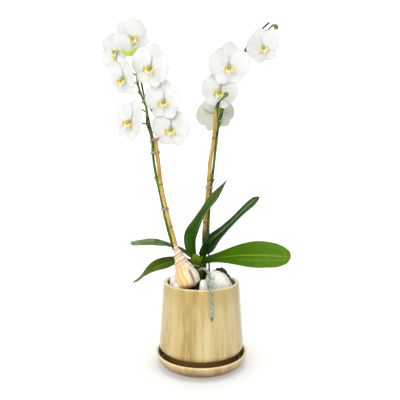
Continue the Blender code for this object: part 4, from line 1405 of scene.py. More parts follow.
SHELLS = (
    SpiralShell("banded_whelk", (-0.0487, -0.0185, 0.0815), (-0.0185, -0.03, 0.006), (
        (0.0, 0.0008), (0.1, 0.0042), (0.22, 0.008), (0.36, 0.0112), (0.48, 0.0142), (0.6, 0.0178),
        (0.72, 0.0206), (0.84, 0.0212), (0.94, 0.0193), (1.0, 0.0118)), 6.5, 0.16, 1.0, 0.3, "whelk_shell",
        Slot.SHELL_BANDED, True),
    SpiralShell("little_cone", (0.0062, -0.044, 0.0235), (0.0068, -0.0465, 0.004), (
        (0.0, 0.0008), (0.3, 0.0032), (0.7, 0.0038), (1.0, 0.002)), 5.0, 0.16, 1.35, 0.15, "cone_shell",
        Slot.SHELL_WHITE, False),
)
RIBBED_SHELLS = (
    RibbedShell("white_cockle", (0.03, -0.0235), (0.025, 0.0162, 0.017), -14, (-0.8, -0.1, 0.62), 34,
                "cockle_shell"),
    RibbedShell(
        "standing_shell", (0.004, -0.051), (0.0078, 0.0062, 0.0125), 25, (0.3, -0.3, 1.0), 20, None
    ),
    RibbedShell("right_chip", (0.05, -0.026), (0.007, 0.006, 0.0075), 50, (-0.4, -0.3, 1.0), 18, None),
    RibbedShell("front_chip", (-0.043, -0.036), (0.0078, 0.0062, 0.008), -40, (0.3, -0.5, 1.0), 18, None),
    RibbedShell("left_clam", (-0.0485, -0.015), (0.009, 0.0085, 0.0125), 20, (0.2, -0.2, 1.0), 22,
                "pebble_shell_left"),
)


# ---------------------------------------------------------------- stem, roots and leaves
STEM_CENTRE = (-0.008, 0.002)
STEM_RADIUS = 0.0092
LEAF_TABLE = (
    ("leaf_right", 0.044, (
        ((0.028, -0.011, 0.053), (0.0, 0.78, 0.64), 0.011, 0.32),
        ((0.06, -0.023, 0.06), (0.0, 0.76, 0.66), 0.0205, 0.22),
        ((0.096, -0.035, 0.0635), (0.0, 0.73, 0.68), 0.0285, 0.14),
        ((0.128, -0.044, 0.064), (0.05, 0.72, 0.69), 0.026, 0.12),
        ((0.148, -0.049, 0.063), (0.1, 0.72, 0.69), 0.015, 0.1),
        ((0.154, -0.0505, 0.062), (0.1, 0.72, 0.69), 0.004, 0.06),
    )),
    ("leaf_back_right", 0.055, (
        ((0.013, -0.004, 0.068), (0.62, 0.6, -0.5), 0.015, 0.35),
        ((0.026, -0.007, 0.0865), (0.52, 0.7, -0.48), 0.018, 0.3),
        ((0.043, -0.008, 0.104), (0.44, 0.8, -0.4), 0.0145, 0.28),
        ((0.066, -0.006, 0.127), (0.48, 0.8, -0.36), 0.0125, 0.26),
        ((0.095, -0.001, 0.154), (0.48, 0.8, -0.36), 0.012, 0.22),
        ((0.108, 0.002, 0.1655), (0.48, 0.8, -0.36), 0.005, 0.15),
    )),
    ("leaf_upright", 0.056, (
        ((-0.0185, -0.0125, 0.08), (0.82, 0.57, 0.1), 0.0125, 0.3),
        ((-0.016, -0.018, 0.1), (0.8, 0.6, 0.02), 0.015, 0.25),
        ((-0.005, -0.0235, 0.124), (0.62, 0.76, -0.16), 0.013, 0.2),
        ((0.009, -0.026, 0.145), (0.52, 0.8, -0.28), 0.0122, 0.18),
        ((0.027, -0.026, 0.17), (0.52, 0.8, -0.3), 0.0112, 0.16),
        ((0.046, -0.0235, 0.197), (0.44, 0.88, -0.22), 0.0022, 0.1),
    )),
    ("leaf_far_left", 0.05, (
        ((-0.037, 0.02, 0.062), (0.1, 0.99, 0.1), 0.0085, 0.35),
        ((-0.06, 0.0235, 0.071), (0.03, 0.98, 0.14), 0.012, 0.25),
        ((-0.086, 0.019, 0.0765), (0.0, 0.97, 0.18), 0.0175, 0.18),
        ((-0.11, 0.013, 0.0775), (0.0, 0.97, 0.2), 0.0175, 0.14),
        ((-0.128, 0.01, 0.078), (0.0, 0.97, 0.22), 0.01, 0.1),
        ((-0.1335, 0.009, 0.0782), (0.0, 0.97, 0.2), 0.003, 0.06),
    )),
    ("leaf_low_left", 0.039, (
        ((-0.034, 0.0225, 0.043), (0.0, 0.9, 0.42), 0.007, 0.35),
        ((-0.057, 0.015, 0.0425), (-0.05, 0.88, 0.47), 0.013, 0.25),
        ((-0.08, -0.001, 0.037), (-0.02, 0.9, 0.42), 0.016, 0.18),
        ((-0.1, -0.016, 0.026), (0.1, 0.96, 0.22), 0.014, 0.14),
        ((-0.114, -0.024, 0.0175), (0.15, 0.98, 0.12), 0.0075, 0.1),
        ((-0.122, -0.029, 0.0125), (0.15, 0.98, 0.1), 0.0022, 0.06),
    )),
)


@dataclass
class Leaf:
    """A strap leaf: the height it leaves the stem at, then its stations outwards.

    Each station is (midrib point, direction across, half width, fold).
    """

    name: str
    height: float
    stations: tuple
    thick: float = 0.0019
    steps: int = 64
    across_steps: int = 16

    def full_stations(self) -> list[tuple]:
        """The stations, with the one that clasps the stem first."""
        first = Vector(self.stations[0][0])
        axis = Vector((*STEM_CENTRE, self.height))
        out = (first - axis).to_2d().normalized().to_3d()
        return [(axis + out * (STEM_RADIUS - 0.0008), self.stations[0][1], 0.0062, 0.55), *self.stations]

    def grid(self) -> list[list[Vector]]:
        """The leaf's middle surface: a shallow V that sags to its midrib and ripples at its edges."""
        stations = self.full_stations()
        points = catmull([s[0] for s in stations], self.steps)
        ways = catmull([s[1] for s in stations], self.steps)
        shapes = catmull([(s[2], s[3], 0.0) for s in stations], self.steps)
        rows = []
        phase = len(self.name) * 1.7
        flip = None
        for i, ((point, _, _, tangent), way, shape) in enumerate(zip(frames_along(points), ways, shapes)):
            along = i / self.steps
            across = (way - tangent * way.dot(tangent)).normalized()
            normal = across.cross(tangent).normalized()
            up = normal if normal.z >= 0 else -normal
            half = max(
                0.0004,
                shape.x * (1.0 if along < 0.93 else math.sqrt(max(0.0, 1 - ((along - 0.93) / 0.07) ** 2)))
            )
            row = []
            for c in range(self.across_steps + 1):
                s = 2 * c / self.across_steps - 1
                crease = 0.0009 * math.exp(-((s / 0.07) ** 2)) * (half > 0.006)
                rise = shape.y * abs(s) ** 1.4 * half - crease
                wave = 0.0007 * math.sin(along * 17.0 + phase + 2.0 * (s > 0)) * s * s
                soft = 0.0006 * noise.noise(Vector((s * 2.0, along * 9.0, phase)))
                row.append(point + across * s * half + up * (rise + wave + soft))
            if i == self.steps // 2:
                flip = normal.z < 0
            rows.append(row)
        return [row[::-1] for row in rows] if flip else rows

    def build(self, finish: bpy.types.Material) -> None:
        """Makes the leaf."""
        form = Form().blade(self.grid(), self.thick, (0.0, 0.0, 0.0, 1.0), (1.0, 0.0, 0.0, 1.0))
        add_piece(
            self.name + "_blade", form.moved(LIFT).mesh(self.name), finish, Slot.LEAF, self.name, sharp=75
        )


@dataclass
class Crown:
    """The short stem, wrapped in the sheaths of its leaves."""

    height: float = 0.056
    depth: float = 0.02
    sheaths: tuple = (
        (-12, 0.047, 0.044, 0.0002), (170, 0.043, 0.04, 0.0005), (150, 0.053, 0.033, 0.0008),
        (10, 0.059, 0.03, 0.0011), (235, 0.061, 0.027, 0.0014),
    )

    def sheath(self, bearing: float, top: float, tall: float, lift: float) -> Form:
        """A sheath that clasps two thirds of the stem.

        Args:
            bearing: the way its leaf points, in degrees.
            top: the height of its upper edge.
            tall: how far down it reaches.
            lift: how far it stands off the stem.

        Returns:
            The form.
        """
        tall_steps, wide_steps = 12, 24
        rows = []
        for r in range(tall_steps + 1):
            level = r / tall_steps
            z = top - tall * (1 - level)
            reach = math.radians(128 - 62 * level ** 2)
            radius = STEM_RADIUS + lift + 0.0009 * math.sin(level * 2.6)
            row = []
            for c in range(wide_steps + 1):
                t = 2 * c / wide_steps - 1
                a = math.radians(bearing) + t * reach
                droop = 0.006 * level * (abs(t) ** 2)
                x = STEM_CENTRE[0] + radius * math.cos(a)
                y = STEM_CENTRE[1] + radius * math.sin(a)
                row.append(Vector((x, y, z - droop)))
            rows.append(row)
        return Form().blade(rows, 0.0011, (0.0, 0.0, 0.0, 1.0), (1.0, 0.0, 0.0, 1.0))

    def build(self) -> None:
        """Makes the stem and its sheaths."""
        x, y = STEM_CENTRE
        heights = (-self.depth, 0.0, 0.4 * self.height, 0.85 * self.height, self.height)
        route = catmull([(x, y, z) for z in heights], 40)
        radii = smooth_values([STEM_RADIUS * share for share in (0.75, 0.95, 0.98, 0.85, 0.35)], 40)
        radii = [r * (1 + 0.03 * math.sin(i * 0.9)) for i, r in enumerate(radii)]
        finish = Stalk(
            "stem_finish", green=(0.016, 0.024, 0.004), blush=(0.008, 0.008, 0.004), blush_from=0.36
        )
        form = Form().tube(route, radii, 32)
        add_piece("stem_core", form.moved(LIFT).mesh("stem_core"), finish.make(), Slot.STEM, "crown_stem")
        skin = LeafSkin("sheath_finish", young=(0.17, 0.27, 0.006), old=(0.022, 0.05, 0.003),
                        base=(0.006, 0.01, 0.002), under=(0.008, 0.022, 0.001),
                        under_tip=(0.17, 0.28, 0.005), midrib=(0.42, 0.52, 0.05), bloom_and_sheen_amount=0.05,
                        midrib_amount=0.2).make()
        for k, (bearing, top, tall, lift) in enumerate(self.sheaths):
            form = self.sheath(bearing, top, tall, lift).moved(LIFT)
            add_piece(
                f"leaf_sheath_{k + 1}", form.mesh("leaf_sheath"), skin, Slot.STEM, "crown_stem", sharp=75
            )


@dataclass
class Roots:
    """The silvery root that hangs over the rim, and a dry one across the top."""

    radius: float = 0.0027
    pot_rim: float = 0.07
    pot_base: float = 0.0777
    base_z: float = 0.036
    rim_z: float = 0.1517
    wall: float = 0.008

    def front_route(self) -> list[Vector]:
        """The root's way out of the stem, over the rim and down the pot."""
        lift = self.radius + 0.0006
        mid_rim = self.pot_rim - self.wall / 2
        start_y = STEM_CENTRE[1] - STEM_RADIUS - lift - 0.001
        reach = mid_rim - 0.003 + start_y
        points = [Vector((STEM_CENTRE[0] + 0.004, start_y, 0.033))]
        for share, x, z in ((0.26, 0.0045, 0.0378), (0.6, 0.0125, 0.034), (0.86, 0.0145, 0.0235)):
            points.append(Vector((x, start_y - share * reach, z)))
        points.append(Vector((0.015, -mid_rim + 0.003, self.rim_z - BARK_TOP + lift + 0.002)))
        for drop, x in ((-0.001, 0.0152), (0.01, 0.0158), (0.024, 0.0178), (0.037, 0.0172), (0.05, 0.017)):
            z = self.rim_z - drop
            share = (z - self.base_z) / (self.rim_z - self.base_z)
            clear = 0.0008 if drop < 0.012 else 0.0
            out = self.pot_base + share * (self.pot_rim - self.pot_base) + lift + clear
            points.append(Vector((x, -math.sqrt(out * out - x * x), z - BARK_TOP)))
        return catmull(points, 110)

    def build(self) -> None:
        """Makes both roots."""
        route = self.front_route()
        count = len(route)
        radii = []
        for i in range(count):
            share = i / (count - 1)
            wrinkle = 0.05 * noise.noise(Vector((share * 24.0, 1.0, 2.0))) + 0.025 * math.sin(share * 90.0)
            taper = (1 - 0.13 * share) * (1.0 if share < 0.94 else 1 - 0.6 * ((share - 0.94) / 0.06) ** 2)
            radii.append(self.radius * taper * (1 + wrinkle))
        form = Form().tube(route, radii, 18, flat=0.92)
        add_piece("silver_root", form.moved(LIFT).mesh("silver_root"), RootSkin("root_finish").make(),
                  Slot.ROOT, "aerial_root")
        front = STEM_CENTRE[1] - STEM_RADIUS - 0.003
        dry = catmull([(-0.0195, front, 0.042), (-0.011, front, 0.0405), (-0.005, front, 0.039)], 30)
        radii = [0.0013 * (1 + 0.12 * math.sin(i * 1.3)) for i in range(len(dry))]
        skin = RootSkin("dry_root_finish", silver=(0.52, 0.36, 0.15), green=(0.3, 0.19, 0.07), tip_from=2.0)
        form = Form().tube(dry, radii, 12)
        add_piece(
            "dry_root_twist", form.moved(LIFT).mesh("dry_root"), skin.make(), Slot.DRY_ROOT, "dry_root"
        )


# ---------------------------------------------------------------- spikes, stakes, wires and clips
SPIKE_RADIUS = 0.0029
SPIKE_TIP_RADIUS = 0.0017
STAKE_RADIUS = 0.004
WIRE_RADIUS = 0.0016
LANE_GAP = 0.0006
BUNDLE_FOOT = 0.05  # below this height above the bark, points are measured from the spike's lane
LANES = {  # (spike, stake in front of it, wire behind it): y of the middle of each, side by side
    side: (y, y - SPIKE_RADIUS - STAKE_RADIUS - LANE_GAP, y + SPIKE_RADIUS + WIRE_RADIUS + LANE_GAP)
    for side, y in (("left", -0.006), ("right", 0.0215))
}
ROUTES = {  # (x, distance behind the piece's own lane, height above the bark)
    ("left", "spike"): (
        (-0.035, 0.009, 0.048), (-0.05, 0.0025, 0.069),
        (-0.061, 0.0, 0.106), (-0.069, 0.0, 0.14), (-0.0765, 0.0, 0.1775),
        (-0.085, 0.0, 0.217), (-0.0885, 0.0, 0.246), (-0.089, 0.0, 0.262),
        (-0.0925, 0.0, 0.2815), (-0.098, 0.0, 0.297), (-0.099, 0.0, 0.311),
        (-0.0995, 0.0, 0.3265), (-0.1045, 0.0, 0.34), (-0.113, 0.0, 0.362),
        (-0.1165, 0.001, 0.38), (-0.1175, 0.004, 0.4), (-0.12, 0.009, 0.42),
        (-0.129, 0.014, 0.436),
    ),
    ("right", "spike"): (
        (0.0065, 0.0035, 0.062), (0.0103, 0.0002, 0.0944), (0.0125, 0.0, 0.125),
        (0.0175, 0.0, 0.172), (0.02, 0.0, 0.1967), (0.024, 0.0, 0.2292),
        (0.0285, 0.0, 0.27), (0.031, 0.0, 0.2902), (0.0357, 0.0, 0.32),
        (0.0415, 0.0005, 0.3456), (0.052, 0.002, 0.378), (0.066, 0.0015, 0.411),
        (0.0815, -0.0015, 0.44), (0.096, -0.0055, 0.46), (0.11, -0.0085, 0.4705),
        (0.121, -0.0095, 0.474),
    ),
    ("left", "stake"): (
        (-0.016, 0.0185, -0.085), (-0.033, 0.0085, 0.0), (-0.0471, 0.002, 0.0785),
        (-0.0555, 0.0, 0.11), (-0.064, 0.0, 0.145), (-0.0725, 0.0, 0.184),
        (-0.078, 0.0, 0.23), (-0.083, 0.0, 0.273),
    ),
    ("right", "stake"): (
        (0.007, -0.006, -0.085), (0.0065, -0.0065, 0.0), (0.005, -0.002, 0.085),
        (0.0062, 0.0, 0.11), (0.0095, 0.0, 0.151), (0.0135, 0.0, 0.185),
        (0.016, 0.0, 0.2292), (0.0235, 0.0, 0.2737), (0.0275, 0.0, 0.329),
    ),
    ("left", "wire"): (
        (-0.03, 0.0226, -0.06), (-0.042, 0.0146, 0.045), (-0.0505, 0.0035, 0.075),
        (-0.057, 0.0, 0.106),
        (-0.069, 0.0, 0.16), (-0.079, 0.0, 0.217), (-0.086, 0.0, 0.26),
        (-0.0925, 0.0, 0.29), (-0.097, 0.0, 0.31), (-0.103, 0.0, 0.343),
        (-0.107, 0.001, 0.36), (-0.1115, 0.006, 0.384), (-0.113, 0.01, 0.4),
    ),
    ("right", "wire"): (
        (0.017, 0.0081, -0.06), (0.015, 0.0071, 0.04), (0.014, 0.0, 0.1),
        (0.0175, 0.0, 0.16), (0.0235, 0.0, 0.22), (0.03, 0.0, 0.28),
        (0.0385, 0.0, 0.32), (0.045, 0.0008, 0.345), (0.056, 0.0023, 0.377),
        (0.07, 0.0018, 0.411), (0.085, -0.0014, 0.442), (0.1, -0.0067, 0.464),
        (0.113, -0.0102, 0.478), (0.126, -0.0122, 0.489),
    ),
}
STEPS = {"spike": 34, "stake": 12, "wire": 22}
SPIKE_ROOTS = {"left": (200, 0.034), "right": (78, 0.036)}  # (bearing on the stem, height)


def bundle_route(side: str, part: str) -> list[Vector]:
    """The smooth route of a spike, stake or wire.

    Args:
        side: left or right.
        part: spike, stake or wire.

    Returns:
        The route, in plant points.
    """
    lane = LANES[side][("spike", "stake", "wire").index(part)]
    own = LANES[side][0]
    points = [
        Vector((x, (lane if z > BUNDLE_FOOT else own) + behind, z)) for x, behind, z in ROUTES[side, part]
    ]
    if part == "spike":
        bearing, height = SPIKE_ROOTS[side]
        reach = STEM_RADIUS + SPIKE_RADIUS + LANE_GAP
        a = math.radians(bearing)
        points.insert(
            0, Vector((STEM_CENTRE[0] + reach * math.cos(a), STEM_CENTRE[1] + reach * math.sin(a), height))
        )
    return catmull(points, STEPS[part])


def nearest_on(route: list[Vector], height: float) -> tuple[Vector, Vector]:
    """The route's point nearest to a height, and its direction there."""
    i = min(range(len(route)), key=lambda k: abs(route[k].z - height))
    ahead = route[min(i + 1, len(route) - 1)] - route[max(i - 1, 0)]
    return route[i], ahead.normalized()


def at_height(route: list[Vector], height: float) -> Vector:
    """The point where a rising route passes a height."""
    for low, high in zip(route, route[1:]):
        if low.z <= height <= high.z:
            return low.lerp(high, (height - low.z) / (high.z - low.z))
    return min(route, key=lambda point: abs(point.z - height))


def leave_spike(
    route: list[Vector], height: float, toward: Vector, radius: float
) -> tuple[Vector, Vector, Vector]:
    """Where a side stalk starts beside the spike.

    Args:
        route: the spike's route.
        height: how high it leaves.
        toward: what it grows towards.
        radius: its own radius.

    Returns:
        Its start, its way out and the spike's direction.
    """
    join, along = nearest_on(route, height)
    leave = (toward - join) - along * (toward - join).dot(along)
    leave.normalize()
    return join + leave * (SPIKE_RADIUS + LANE_GAP + radius), leave, along


def placed(points: list[Vector]) -> list[Vector]:
    """Plant points, raised to the bark's surface."""
    return [LIFT @ point for point in points]


@dataclass
class Bundle:
    """One flower spike with its bamboo stake and its coated wire."""

    side: str
    joints: tuple  # heights where the spike has a joint with a bract
    stubs: tuple  # (height, offset, radius) of each stub of a dropped flower
    bract_turn: float = 0.0

    def bract(self, route: list[Vector], height: float, turn: float, size: float) -> Form:
        """A small pointed bract that clasps the spike at a joint.

        Args:
            route: the spike's route.
            height: the joint's height.
            turn: which way it points, in degrees.
            size: its length.

        Returns:
            The form.
        """
        point, along = at_height(route, height), nearest_on(route, height)[1]
        side = along.orthogonal().normalized()
        over = along.cross(side)
        rows = []
        for r in range(9):
            level = r / 8
            wide = math.radians(105) * (1 - level) ** 0.8
            radius = SPIKE_RADIUS * 1.12 + 0.3 * size * level ** 2
            row = []
            for c in range(9):
                a = math.radians(turn) + (2 * c / 8 - 1) * wide
                row.append(point + along * (size * level - 0.001) + radius * (
                    math.cos(a) * side + math.sin(a) * over
                ))
            rows.append(row)
        return Form().blade(rows, 0.0008, (0.0, 0.0, 0.0, 1.0), (1.0, 0.0, 0.0, 1.0))

    def build(self, skin: bpy.types.Material, bract_skin: bpy.types.Material, bamboo: bpy.types.Material,
              wire: bpy.types.Material) -> None:
        """Makes the spike with its bracts and stubs, then the stake and the wire."""
        side = self.side
        route = bundle_route(side, "spike")
        last = len(route) - 1
        radii = [SPIKE_RADIUS + (SPIKE_TIP_RADIUS - SPIKE_RADIUS) * i / last for i in range(last + 1)]
        rod = Rod(0.062, 0.05, 0.3, 0.0045, 16, 0.1)
        add_piece(
            "flower_spike_" + side, rod.mesh(placed(route), radii, skin), skin, Slot.SPIKE, "spike_" + side
        )
        form = Form()
        for k, height in enumerate(self.joints):
            part = self.bract(route, height, self.bract_turn + 150 * k, 0.0085)
            form = merged(form, part)
        add_piece(
            "bracts_" + side, form.moved(LIFT).mesh("bracts"), bract_skin, Slot.SPIKE, "spike_" + side,
            sharp=70
        )
        for k, (height, offset, radius) in enumerate(self.stubs):
            start = at_height(route, height)
            path = catmull(
                [start, start + Vector(offset) * 0.5 + Vector((0.0, 0.0, 0.0006)), start + Vector(offset)],
                10
            )
            radii = smooth_values([radius, radius * 0.9, radius * 0.85, radius], 10)
            form = Form().tube(path, radii, 12)
            add_piece(
                f"stub_{side}_{k + 1}", form.moved(LIFT).mesh("stub"), skin, Slot.SPIKE, "spike_" + side
            )
        stake = bundle_route(side, "stake")
        radii = [STAKE_RADIUS * (1 - 0.1 * i / (len(stake) - 1)) for i in range(len(stake))]
        rod = Rod(0.079, 0.045, 0.13, 0.003, 14, 0.03)
        add_piece(
            "bamboo_" + side, rod.mesh(placed(stake), radii, bamboo), bamboo, Slot.BAMBOO,
            "bamboo_stake_" + side
        )
        line = bundle_route(side, "wire")
        rod = Rod(0.0042, 0.0, 0.05, 0.0012, 10, 0.03)
        add_piece("wire_" + side, rod.mesh(placed(line), [WIRE_RADIUS] * len(line), wire), wire, Slot.WIRE,
                  "support_wire_" + side)


def merged(first: Form, second: Form) -> Form:
    """Two forms as one.

    Args:
        first: the form that grows.
        second: what is added to it.

    Returns:
        The first form.
    """
    start = len(first.points)
    first.points.extend(second.points)
    first.tints.extend(second.tints)
    first.faces.extend(tuple(start + n for n in face) for face in second.faces)
    first.uvs.extend(second.uvs)
    return first


# ---------------------------------------------------------------- flowers and buds
@dataclass(frozen=True)
class Tepal:
    """One petal or sepal, in shares of its flower's half width."""

    bearing: float
    length: float
    breadth: float
    widest: float
    fullness: float
    layer: float
    curl: float


SEPALS_AND_PETALS = (
    Tepal(90, 1.07, 0.4, 0.54, 0.62, -0.035, 0.02),
    Tepal(306, 0.96, 0.4, 0.52, 0.66, -0.03, -0.03),
    Tepal(234, 0.96, 0.4, 0.52, 0.66, -0.03, -0.03),
    Tepal(18, 1.01, 0.61, 0.6, 0.56, 0.02, 0.04),
    Tepal(162, 1.01, 0.61, 0.6, 0.56, 0.028, 0.04),
)


@dataclass
class Flower:
    """An open flower: where its parts join, the way it faces, its roll, its size and how cupped it is."""

    name: str
    spike: str
    attach: float
    centre: Point
    facing: Point
    roll: float
    half_width: float
    cup: float

    def place(self) -> Matrix:
        """Carries the flower's own frame (X across, Y up, Z out of its face) to where it hangs."""
        out = Vector(self.facing).normalized()
        up = (Vector((0, 0, 1)) - out * out.z).normalized()
        up.rotate(Matrix.Rotation(math.radians(self.roll), 3, out))
        across = up.cross(out)
        turn = Matrix((across, up, out)).transposed().to_4x4()
        return LIFT @ Matrix.Translation(Vector(self.centre)) @ turn @ Matrix.Scale(self.half_width, 4)

    def tepal(self, tepal: Tepal, rng: random.Random) -> list[list[Vector]]:
        """The middle surface of one petal or sepal.

        Args:
            tepal: which one.
            rng: where its small differences come from.

        Returns:
            Its points, row by row from its claw to its tip.
        """
        bearing = math.radians(tepal.bearing + rng.uniform(-4, 4))
        length = tepal.length * rng.uniform(0.96, 1.03)
        breadth = tepal.breadth * rng.uniform(0.95, 1.05)
        phase = rng.uniform(0, math.tau)
        curl = tepal.curl + rng.uniform(-0.03, 0.03)
        power = math.log(0.5) / math.log(tepal.widest)
        turn = Matrix.Rotation(bearing, 3, "Z")
        rows = []
        tall, wide = 26, 20
        for r in range(tall + 1):
            v = (r / tall) ** 0.92
            body = math.sin(math.pi * v ** power) if v < 1 else 0.0
            half = 0.075 * (1 - v) ** 0.5 + breadth * max(0.0, body) ** tepal.fullness
            row = []
            for c in range(wide, -1, -1):
                t = 2 * c / wide - 1
                x = 0.03 + v * (length - 0.03) - 0.05 * t * t * body
                y = t * half
                lift = self.cup * (x * x + y * y) + curl * v ** 3
                ruffle = 0.028 * math.sin(5.2 * v * (1 if t > 0 else 1.25) + phase) * abs(t) ** 2.5 * body
                keel = -0.03 * math.exp(-((t / 0.16) ** 2)) * body * (1 - v)
                soft = 0.022 * noise.noise(Vector((x * 3.1, y * 3.1, phase)))
                dome = -0.07 * t * t * body
                row.append(turn @ Vector((x, y, tepal.layer + lift + ruffle + keel + soft * body + dome)))
            rows.append(row)
        return rows

    def perianth(self) -> Form:
        """The three sepals behind and the two petals in front."""
        rng = random.Random(self.name)
        form = Form()
        for tepal in SEPALS_AND_PETALS:
            form.blade(self.tepal(tepal, rng), 0.026, (0.0, 0.0, 0.0, 1.0), (1.0, 0.0, 0.0, 1.0))
        return form

    def lip(self) -> Form:
        """The column with its cap, the side lobes, the freckled callus, the mid lobe and its tendrils."""
        form = Form()
        column = [(0.0, 0.03, 0.02), (0.0, 0.02, 0.1), (0.0, -0.01, 0.18), (0.0, -0.06, 0.235)]
        form.tube(catmull(column, 12), smooth_values([0.1, 0.098, 0.104, 0.075], 12), 16,
                  (0.5, 0.46, 0.16, 0.95), 0.85)
        cap = [(0.0, -0.05, 0.215), (0.0, -0.085, 0.245)]
        form.tube(catmull(cap, 4), smooth_values([0.05, 0.03], 4), 12, (0.8, 0.72, 0.52, 0.6))
        for side in (-1, 1):
            form.blade(self.side_lobe(side), 0.02, (0.93, 0.84, 0.06, 0.45), (0.93, 0.87, 0.24, 0.25))
            bump = [(side * 0.03, -0.115, 0.13), (side * 0.036, -0.15, 0.185), (side * 0.03, -0.185, 0.215)]
            form.tube(catmull(bump, 6), smooth_values([0.034, 0.046, 0.03], 6), 10, (0.86, 0.6, 0.16, 1.0))
            curl = [(side * 0.018, -0.39, 0.318), (side * 0.05, -0.44, 0.33), (side * 0.095, -0.445, 0.36),
                    (side * 0.105, -0.405, 0.385)]
            form.tube(catmull(curl, 14), [0.011 - 0.0006 * i for i in range(15)], 6, (0.9, 0.86, 0.78, 0.0))
        form.blade(self.mid_lobe(), 0.034, (0.9, 0.88, 0.72, 0.12), (0.88, 0.86, 0.74, 0.0))
        throat = [(0.0, -0.14, 0.1), (0.0, -0.2, 0.17), (0.0, -0.27, 0.235)]
        radii = [0.04, 0.04, 0.038, 0.036, 0.032, 0.026, 0.018]
        form.tube(catmull(throat, 6), radii, 10, (0.84, 0.7, 0.08, 0.6))
        return form

    @staticmethod
    def side_lobe(side: int) -> list[list[Vector]]:
        """A paddle that rises beside the column and curls over it."""
        points = [(side * 0.04, -0.13, 0.1), (side * 0.145, -0.17, 0.15),
                  (side * 0.215, -0.16, 0.225), (side * 0.205, -0.09, 0.3)]
        spine = catmull(points, 12)
        rows = []
        for i, point in enumerate(spine):
            v = i / 12
            half = 0.035 + 0.105 * math.sin(math.pi * min(1.0, v * 1.02) ** 1.3) if v < 1 else 0.012
            row = []
            for c in range(9):
                t = 2 * c / 8 - 1
                bend = 0.05 * (1 - t * t)
                row.append(point + Vector((side * bend, t * half * 0.9, -t * half * 0.35)))
            rows.append(row)
        return rows

    @staticmethod
    def mid_lobe() -> list[list[Vector]]:
        """A trowel with two shoulders and a narrow tip, ridged down its middle."""
        spine = catmull(
            [(0.0, -0.15, 0.12), (0.0, -0.22, 0.22), (0.0, -0.31, 0.285), (0.0, -0.4, 0.32)], 18
        )
        rows = []
        for i, point in enumerate(spine):
            v = i / 18
            half = 0.05 + 0.105 * math.exp(-(((v - 0.4) / 0.24) ** 2)) * (1 - v) ** 0.3
            row = []
            for c in range(10, -1, -1):
                t = 2 * c / 10 - 1
                ridge = 0.03 * math.exp(-((t / 0.22) ** 2)) - 0.03 * t * t
                row.append(point + Vector((t * half, 0.03 * t * t, ridge)))
            rows.append(row)
        return rows

    def stalk(self) -> tuple[list[Vector], list[float]]:
        """The flower stalk's route, out of the spike and into the flower's back, and its radii."""
        centre, out = Vector(self.centre), Vector(self.facing).normalized()
        behind = centre - out * 0.016
        start, leave, along = leave_spike(bundle_route(self.spike, "spike"), self.attach, behind, 0.0014)
        start = start - leave * 0.0022
        bend = start + leave * 0.008 + along * 0.002
        route = catmull([start, bend, behind, centre - out * 0.0004], 24)
        return route, smooth_values([0.0015, 0.0013, 0.0015, 0.0019], 24)

    def build(self, petal: bpy.types.Material, lip: bpy.types.Material, stalk: bpy.types.Material) -> None:
        """Makes the flower."""
        name, place = self.name, self.place()
        add_piece("petals_" + name, self.perianth().moved(place).mesh("petals"), petal, Slot.TEPAL,
                  "tepals_" + name, sharp=80)
        add_piece(
            "lip_and_column_" + name, self.lip().moved(place).mesh("lip"), lip, Slot.LIP, "lip_" + name,
            sharp=70
        )
        route, radii = self.stalk()
        form = Form().tube(route, radii, 12).moved(LIFT)
        add_piece("stalk_" + name, form.mesh("stalk"), stalk, Slot.SPIKE, "tepals_" + name)


FLOWERS = (
    ("left_1", "left", 0.425, (-0.1225, -0.026, 0.4455), (0.1, -0.96, -0.22), 48, 0.0315, 0.1),
    ("left_2", "left", 0.435, (-0.1585, 0.009, 0.433), (-0.58, -0.78, -0.22), 44, 0.0335, 0.12),
    ("left_3", "left", 0.392, (-0.1365, -0.025, 0.376), (-0.64, -0.7, -0.3), -12, 0.035, 0.14),
    ("left_4", "left", 0.402, (-0.086, -0.052, 0.3875), (-0.34, -0.9, -0.26), -22, 0.037, 0.08),
    ("left_5", "left", 0.35, (-0.065, -0.034, 0.335), (-0.3, -0.92, -0.24), -8, 0.035, 0.08),
    ("left_6", "left", 0.28, (-0.054, -0.018, 0.2895), (-0.26, -0.94, -0.2), -4, 0.0365, 0.08),
    ("left_7", "left", 0.318, (-0.125, -0.025, 0.2995), (-0.62, -0.78, 0.04), -22, 0.037, 0.12),
    ("right_1", "right", 0.422, (0.0475, -0.03, 0.3955), (0.04, -0.96, -0.27), 0, 0.037, 0.08),
    ("right_2", "right", 0.39, (0.033, -0.008, 0.358), (-0.18, -0.94, -0.28), -16, 0.035, 0.08),
    ("right_3", "right", 0.355, (0.0275, 0.048, 0.3275), (0.1, 0.96, -0.24), -12, 0.038, 0.1),
    ("right_4", "right", 0.466, (0.111, -0.008, 0.4365), (-0.04, -0.96, -0.28), 16, 0.0305, 0.12),
)


